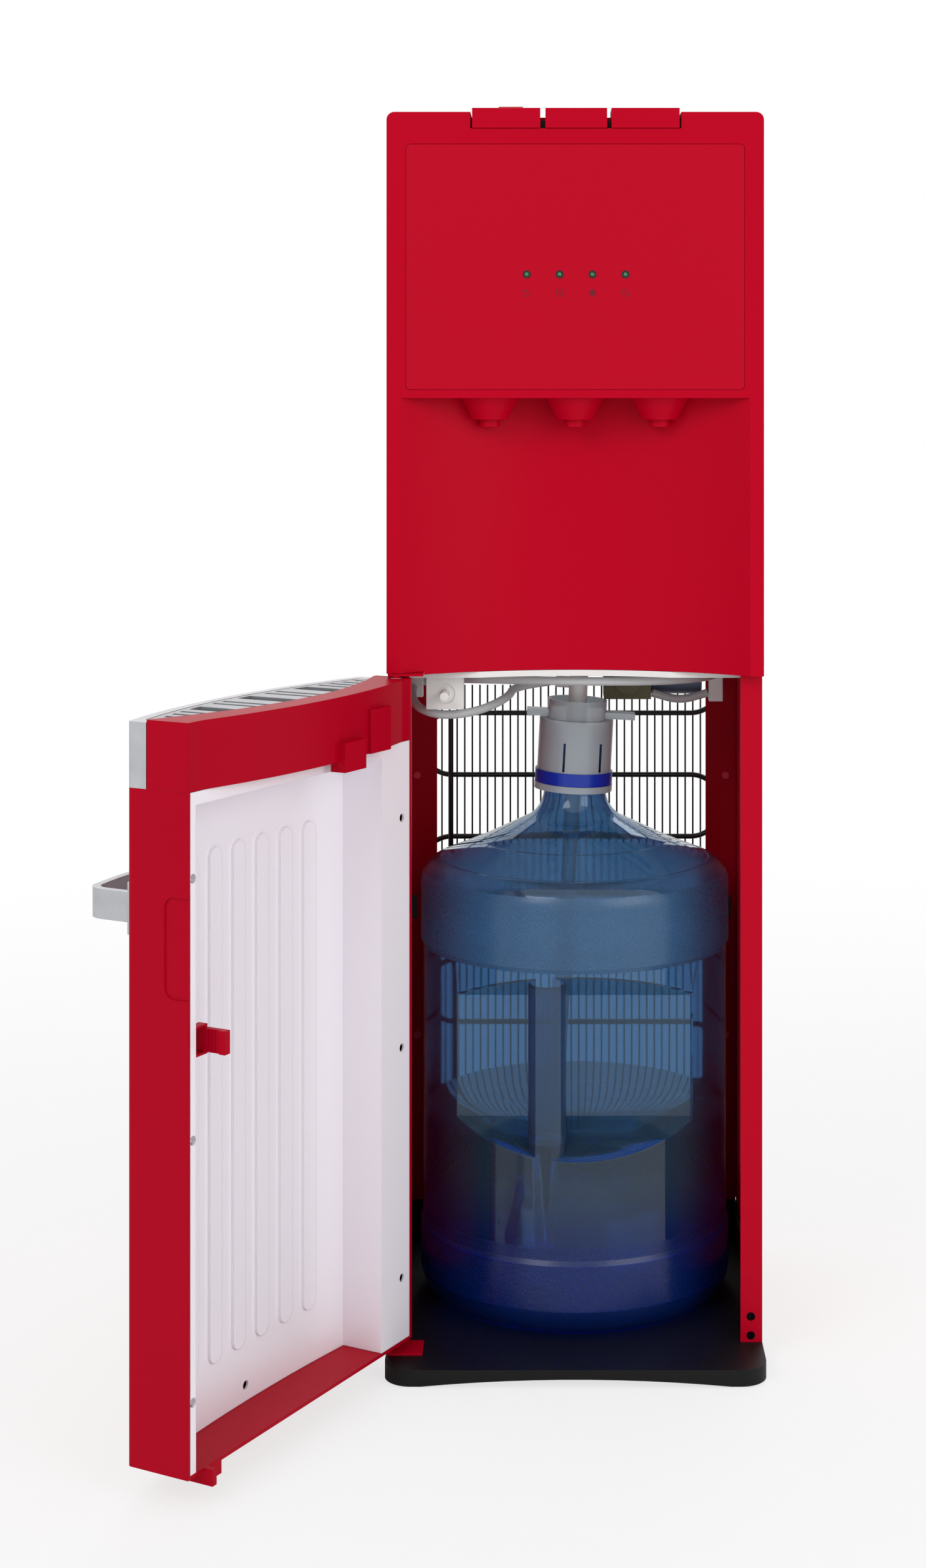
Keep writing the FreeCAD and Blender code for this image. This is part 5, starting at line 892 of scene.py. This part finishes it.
@dataclass
class Dresser:
    """The finish of each frame node that keeps its own solid."""

    nodes: dict[str, bpy.types.Object]
    finishes: dict[Finish, tuple[str, ...]] = field(
        default_factory=lambda: {
            Finish.BLACK_TRAY: ("base_tray",),
            Finish.BLACK_RUBBER: ("base_feet",),
            Finish.RED_ENAMEL: (
                "left_side_panel",
                "right_side_panel",
                "rear_panel",
                "upper_hinge",
                "lower_hinge",
            ),
            Finish.BLACK_ENAMEL: (
                "condenser_coil",
                "condenser_wires",
                "condenser_posts",
                "riser_pipe",
                "compressor",
                "upper_rear_cover",
            ),
            # Painted highlight: the screws are a lighter red than the panels they hold.
            Finish.RED_SCREW_PAINTED_HIGHLIGHT: ("panel_screws",),
            Finish.RED_ROCKER: ("hot_power_switch",),
            Finish.GREEN_ROCKER: ("cold_power_switch",),
            Finish.MILKY: ("drain_fitting", "dispense_valves", "hinge_bushes"),
            Finish.BLACK_PLASTIC: (
                "drain_cap",
                "power_inlet",
                "button_frame",
                "indicator_bezels",
            ),
            Finish.RED_MOULDING: (
                "front_housing",
                "top_cover",
                "hot_button",
                "room_button",
                "cold_button",
                "child_lock_tab",
                "hot_spout",
                "room_spout",
                "cold_spout",
            ),
            Finish.RED_PANEL: ("control_panel",),
            Finish.RED_DOOR: ("door_shell", "door_cap", "latch_hook", "latch_mount"),
            Finish.GREEN_LIGHT: ("status_lenses",),
            Finish.WHITE: (
                "mid_shelf",
                "switch_housing",
                "switch_pin",
                "hose_fittings",
                "probe_pipe",
            ),
            Finish.OLIVE: ("water_pump",),
            Finish.MOTOR: ("pump_motor",),
            Finish.SILICONE: ("pump_hose", "supply_hose"),
            Finish.FOAM: ("cold_tank",),
            Finish.STAINLESS: ("hot_tank",),
            Finish.GALVANISED: ("tank_shelf",),
            Finish.BOTTLE: ("bottle",),
            Finish.CAP: ("probe_cap",),
            Finish.BLUE_RING: ("probe_ring",),
            Finish.TUBE: ("pickup_tube",),
            Finish.SILVER: ("door_fascia", "door_handle"),
            Finish.SILVER_GRILLE: ("drip_grille",),
            Finish.LINER: ("door_liner",),
            # The drip tray's near black is painted shade under the grille.
            Finish.DARK: ("drip_tray",),
        }
    )

    def build(self) -> None:
        """Dresses every node."""
        for finish, names in self.finishes.items():
            for name in names:
                dress(self.nodes[name], finish)
                LOG.info("%s: %s", name, finish.value.name)


@dataclass
class ProbeHose:
    """The limp hose from the clip on the cabinet to the elbow over the bottle."""

    radius: float = 3.6 * MM
    sides: int = 20
    length: float = 0.195
    route: tuple[Point, ...] = (
        (-0.138, -0.0304, 0.546),
        (-0.140, -0.053, 0.5365),
        (-0.118, -0.071, 0.5275),
        (-0.084, -0.059, 0.5285),
        (-0.056, -0.025, 0.537),
        (-0.052, 0.010, 0.543),
        (-0.0206, 0.019, 0.5455),
    )

    def build(self, beads: bpy.types.NodeTree) -> None:
        """Sweeps the hose along its route and hides the frame's own hose.

        Args:
            beads: the tree that sweeps a bead along a path.
        """
        line = spline_points(self.route)
        inputs = {
            "Radius": self.radius,
            "Sides": self.sides,
            "Material": Finish.SILICONE.coat(),
        }
        mesh = Machine.run(beads, chain_mesh([line]), inputs)
        hose = keep("probe_hose_tube", mesh, None, Finish.SILICONE)
        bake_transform(hose)
        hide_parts("probe_hose")


@dataclass
class Water:
    """The water left in the bottle, up to its line."""

    bottle: bpy.types.Object
    line: float = 0.176
    grip: float = 0.1 * MM
    joint: float = 0.01 * MM

    def build(self) -> None:
        """Cuts the bottle's inner skin at the water line and closes it."""
        shell = bmesh.new()
        shell.from_mesh(self.bottle.data)
        bmesh.ops.remove_doubles(shell, verts=shell.verts, dist=self.joint)
        bmesh.ops.bisect_plane(
            shell,
            geom=[*shell.verts, *shell.edges, *shell.faces],
            plane_co=(0.0, 0.0, self.line),
            plane_no=(0.0, 0.0, 1.0),
            clear_outer=True,
        )
        islands = self.islands(shell)
        inner = max(islands, key=lambda island: min(v.co.z for v in island))
        outside = [vertex for vertex in shell.verts if vertex not in inner]
        bmesh.ops.delete(shell, geom=outside, context="VERTS")
        rim = [edge for edge in shell.edges if edge.is_boundary]
        bmesh.ops.triangle_fill(shell, use_beauty=True, edges=rim)
        bmesh.ops.recalc_face_normals(shell, faces=shell.faces)
        for vertex in shell.verts:
            if vertex.co.z < self.line - self.joint:
                vertex.co += vertex.normal * self.grip
        mesh = bpy.data.meshes.new("water")
        shell.to_mesh(mesh)
        shell.free()
        water = keep("bottle_water", mesh, "bottle_body", Finish.WATER)

    @staticmethod
    def islands(shell: bmesh.types.BMesh) -> list[set[bmesh.types.BMVert]]:
        """The loose parts of a mesh as sets of vertices."""
        left = set(shell.verts)
        found = []
        while left:
            front = [left.pop()]
            island = set(front)
            while front:
                vertex = front.pop()
                for edge in vertex.link_edges:
                    other = edge.other_vert(vertex)
                    if other in left:
                        left.discard(other)
                        island.add(other)
                        front.append(other)
            found.append(island)
        return found


@dataclass
class PanelSigns:
    """The four generic signs printed under the status lights."""

    centre: float = 0.7 * MM
    pitch: float = 27.0 * MM
    height: float = 0.8824
    face: float = -0.12895
    half: float = 3.1 * MM
    stroke: float = 0.28 * MM

    def build(self, beads: bpy.types.NodeTree) -> None:
        """Draws the signs as fine beads on the panel.

        Args:
            beads: the tree that sweeps a bead along a path.
        """
        drawings = (self.power(), self.heat(), self.flake(), self.flasks())
        chains = []
        for number, drawing in enumerate(drawings):
            middle = self.centre + (number - (len(drawings) - 1) / 2) * self.pitch
            for chain in drawing:
                chains.append(
                    [
                        (middle + x * self.half, self.face, self.height + z * self.half)
                        for x, z in chain
                    ]
                )
        inputs = {"Radius": self.stroke, "Sides": 6, "Material": Finish.PRINT.coat()}
        mesh = Machine.run(beads, chain_mesh(chains), inputs)
        signs = keep("panel_signs", mesh, "cabinet", Finish.PRINT)

    @staticmethod
    def arc(
        middle: tuple[float, float], radius: float, start: float, end: float, steps: int = 20
    ) -> list[tuple[float, float]]:
        """Points round an arc.

        Args:
            middle: its centre.
            radius: its radius.
            start: the angle of its first point, in degrees from +X.
            end: the angle of its last point.
            steps: how many runs it has.

        Returns:
            The points.
        """
        points = []
        for step in range(steps + 1):
            angle = math.radians(start + (end - start) * step / steps)
            points.append(
                (
                    middle[0] + radius * math.cos(angle),
                    middle[1] + radius * math.sin(angle),
                )
            )
        return points

    def power(self) -> list[list[tuple[float, float]]]:
        """A broken ring with a bar in its gap."""
        ring = self.arc(middle=(0.0, -0.1), radius=0.85, start=125.0, end=415.0)
        bar = [(0.0, 0.1), (0.0, 1.0)]
        return [ring, bar]

    def heat(self) -> list[list[tuple[float, float]]]:
        """Three rising waves."""
        gap, swing, lean, steps = 0.75, 0.22, 0.25, 16
        waves = []
        for side in (-gap, 0.0, gap):
            wave = []
            for step in range(steps + 1):
                rise = step / steps
                x = side + swing * math.sin(FULL_TURN * rise) + lean * (rise - 0.5)
                wave.append((x, 2 * rise - 1))
            waves.append(wave)
        return waves

    def flake(self) -> list[list[tuple[float, float]]]:
        """A six-armed snowflake."""
        arms, fork, reach, spread = 6, 0.55, 0.9, 0.3
        lines = []
        for arm in range(arms):
            angle = FULL_TURN * (arm / arms + 1 / (2 * arms))
            along = Vector((math.cos(angle), math.sin(angle)))
            across = Vector((-along.y, along.x))
            lines.append([(0.0, 0.0), tuple(along)])
            for side in (-1, 1):
                tip = along * reach + across * spread * side
                lines.append([tuple(along * fork), tuple(tip)])
        return lines

    def flasks(self) -> list[list[tuple[float, float]]]:
        """Two upturned bottles, one in front of the other."""
        neck, body, mouth, throat, shoulder = 0.12, 0.42, -0.95, -0.7, 0.45
        flask = [
            (-neck, mouth),
            (-neck, throat),
            (-body, -shoulder),
            (-body, shoulder),
            (body, shoulder),
            (body, -shoulder),
            (neck, throat),
            (neck, mouth),
        ]
        front = [(x + 0.4, z - 0.05) for x, z in flask]
        back = [(x - 0.45, z + 0.45) for x, z in flask[3:5]]
        return [front, [(-0.87, -0.1), *back, (-0.03, 0.7)], [(-0.87, -0.1), (-0.6, -0.3)]]


@dataclass
class Seams:
    """The sealant in the two upright joints between the rear panel and the side panels."""

    side: float = 153.85 * MM
    depth: float = 160.5 * MM
    low: float = 46.0 * MM
    high: float = 560.0 * MM
    radius: float = 0.45 * MM

    def build(self, beads: bpy.types.NodeTree) -> None:
        """Fills both joints.

        Args:
            beads: the tree that sweeps a bead along a path.
        """
        lines = [
            [(side, self.depth, self.low), (side, self.depth, self.high)]
            for side in (-self.side, self.side)
        ]
        inputs = {"Radius": self.radius, "Sides": 8, "Material": Finish.RED_ENAMEL.coat()}
        mesh = Machine.run(beads, chain_mesh(lines), inputs)
        seams = keep("panel_sealant", mesh, "cabinet", Finish.RED_ENAMEL)


def main() -> None:
    """Builds the studio, then each sub-assembly in turn."""
    logging.basicConfig(level=logging.INFO, format="%(name)s %(message)s")
    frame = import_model()
    nodes = frame["nodes"]
    Studio().build()
    beads = bead_machine()
    ProbeHose().build(beads)
    Dresser(nodes).build()
    Water(nodes["bottle"]).build()
    PanelSigns().build(beads)
    Seams().build(beads)


if __name__ == "__main__":
    main()
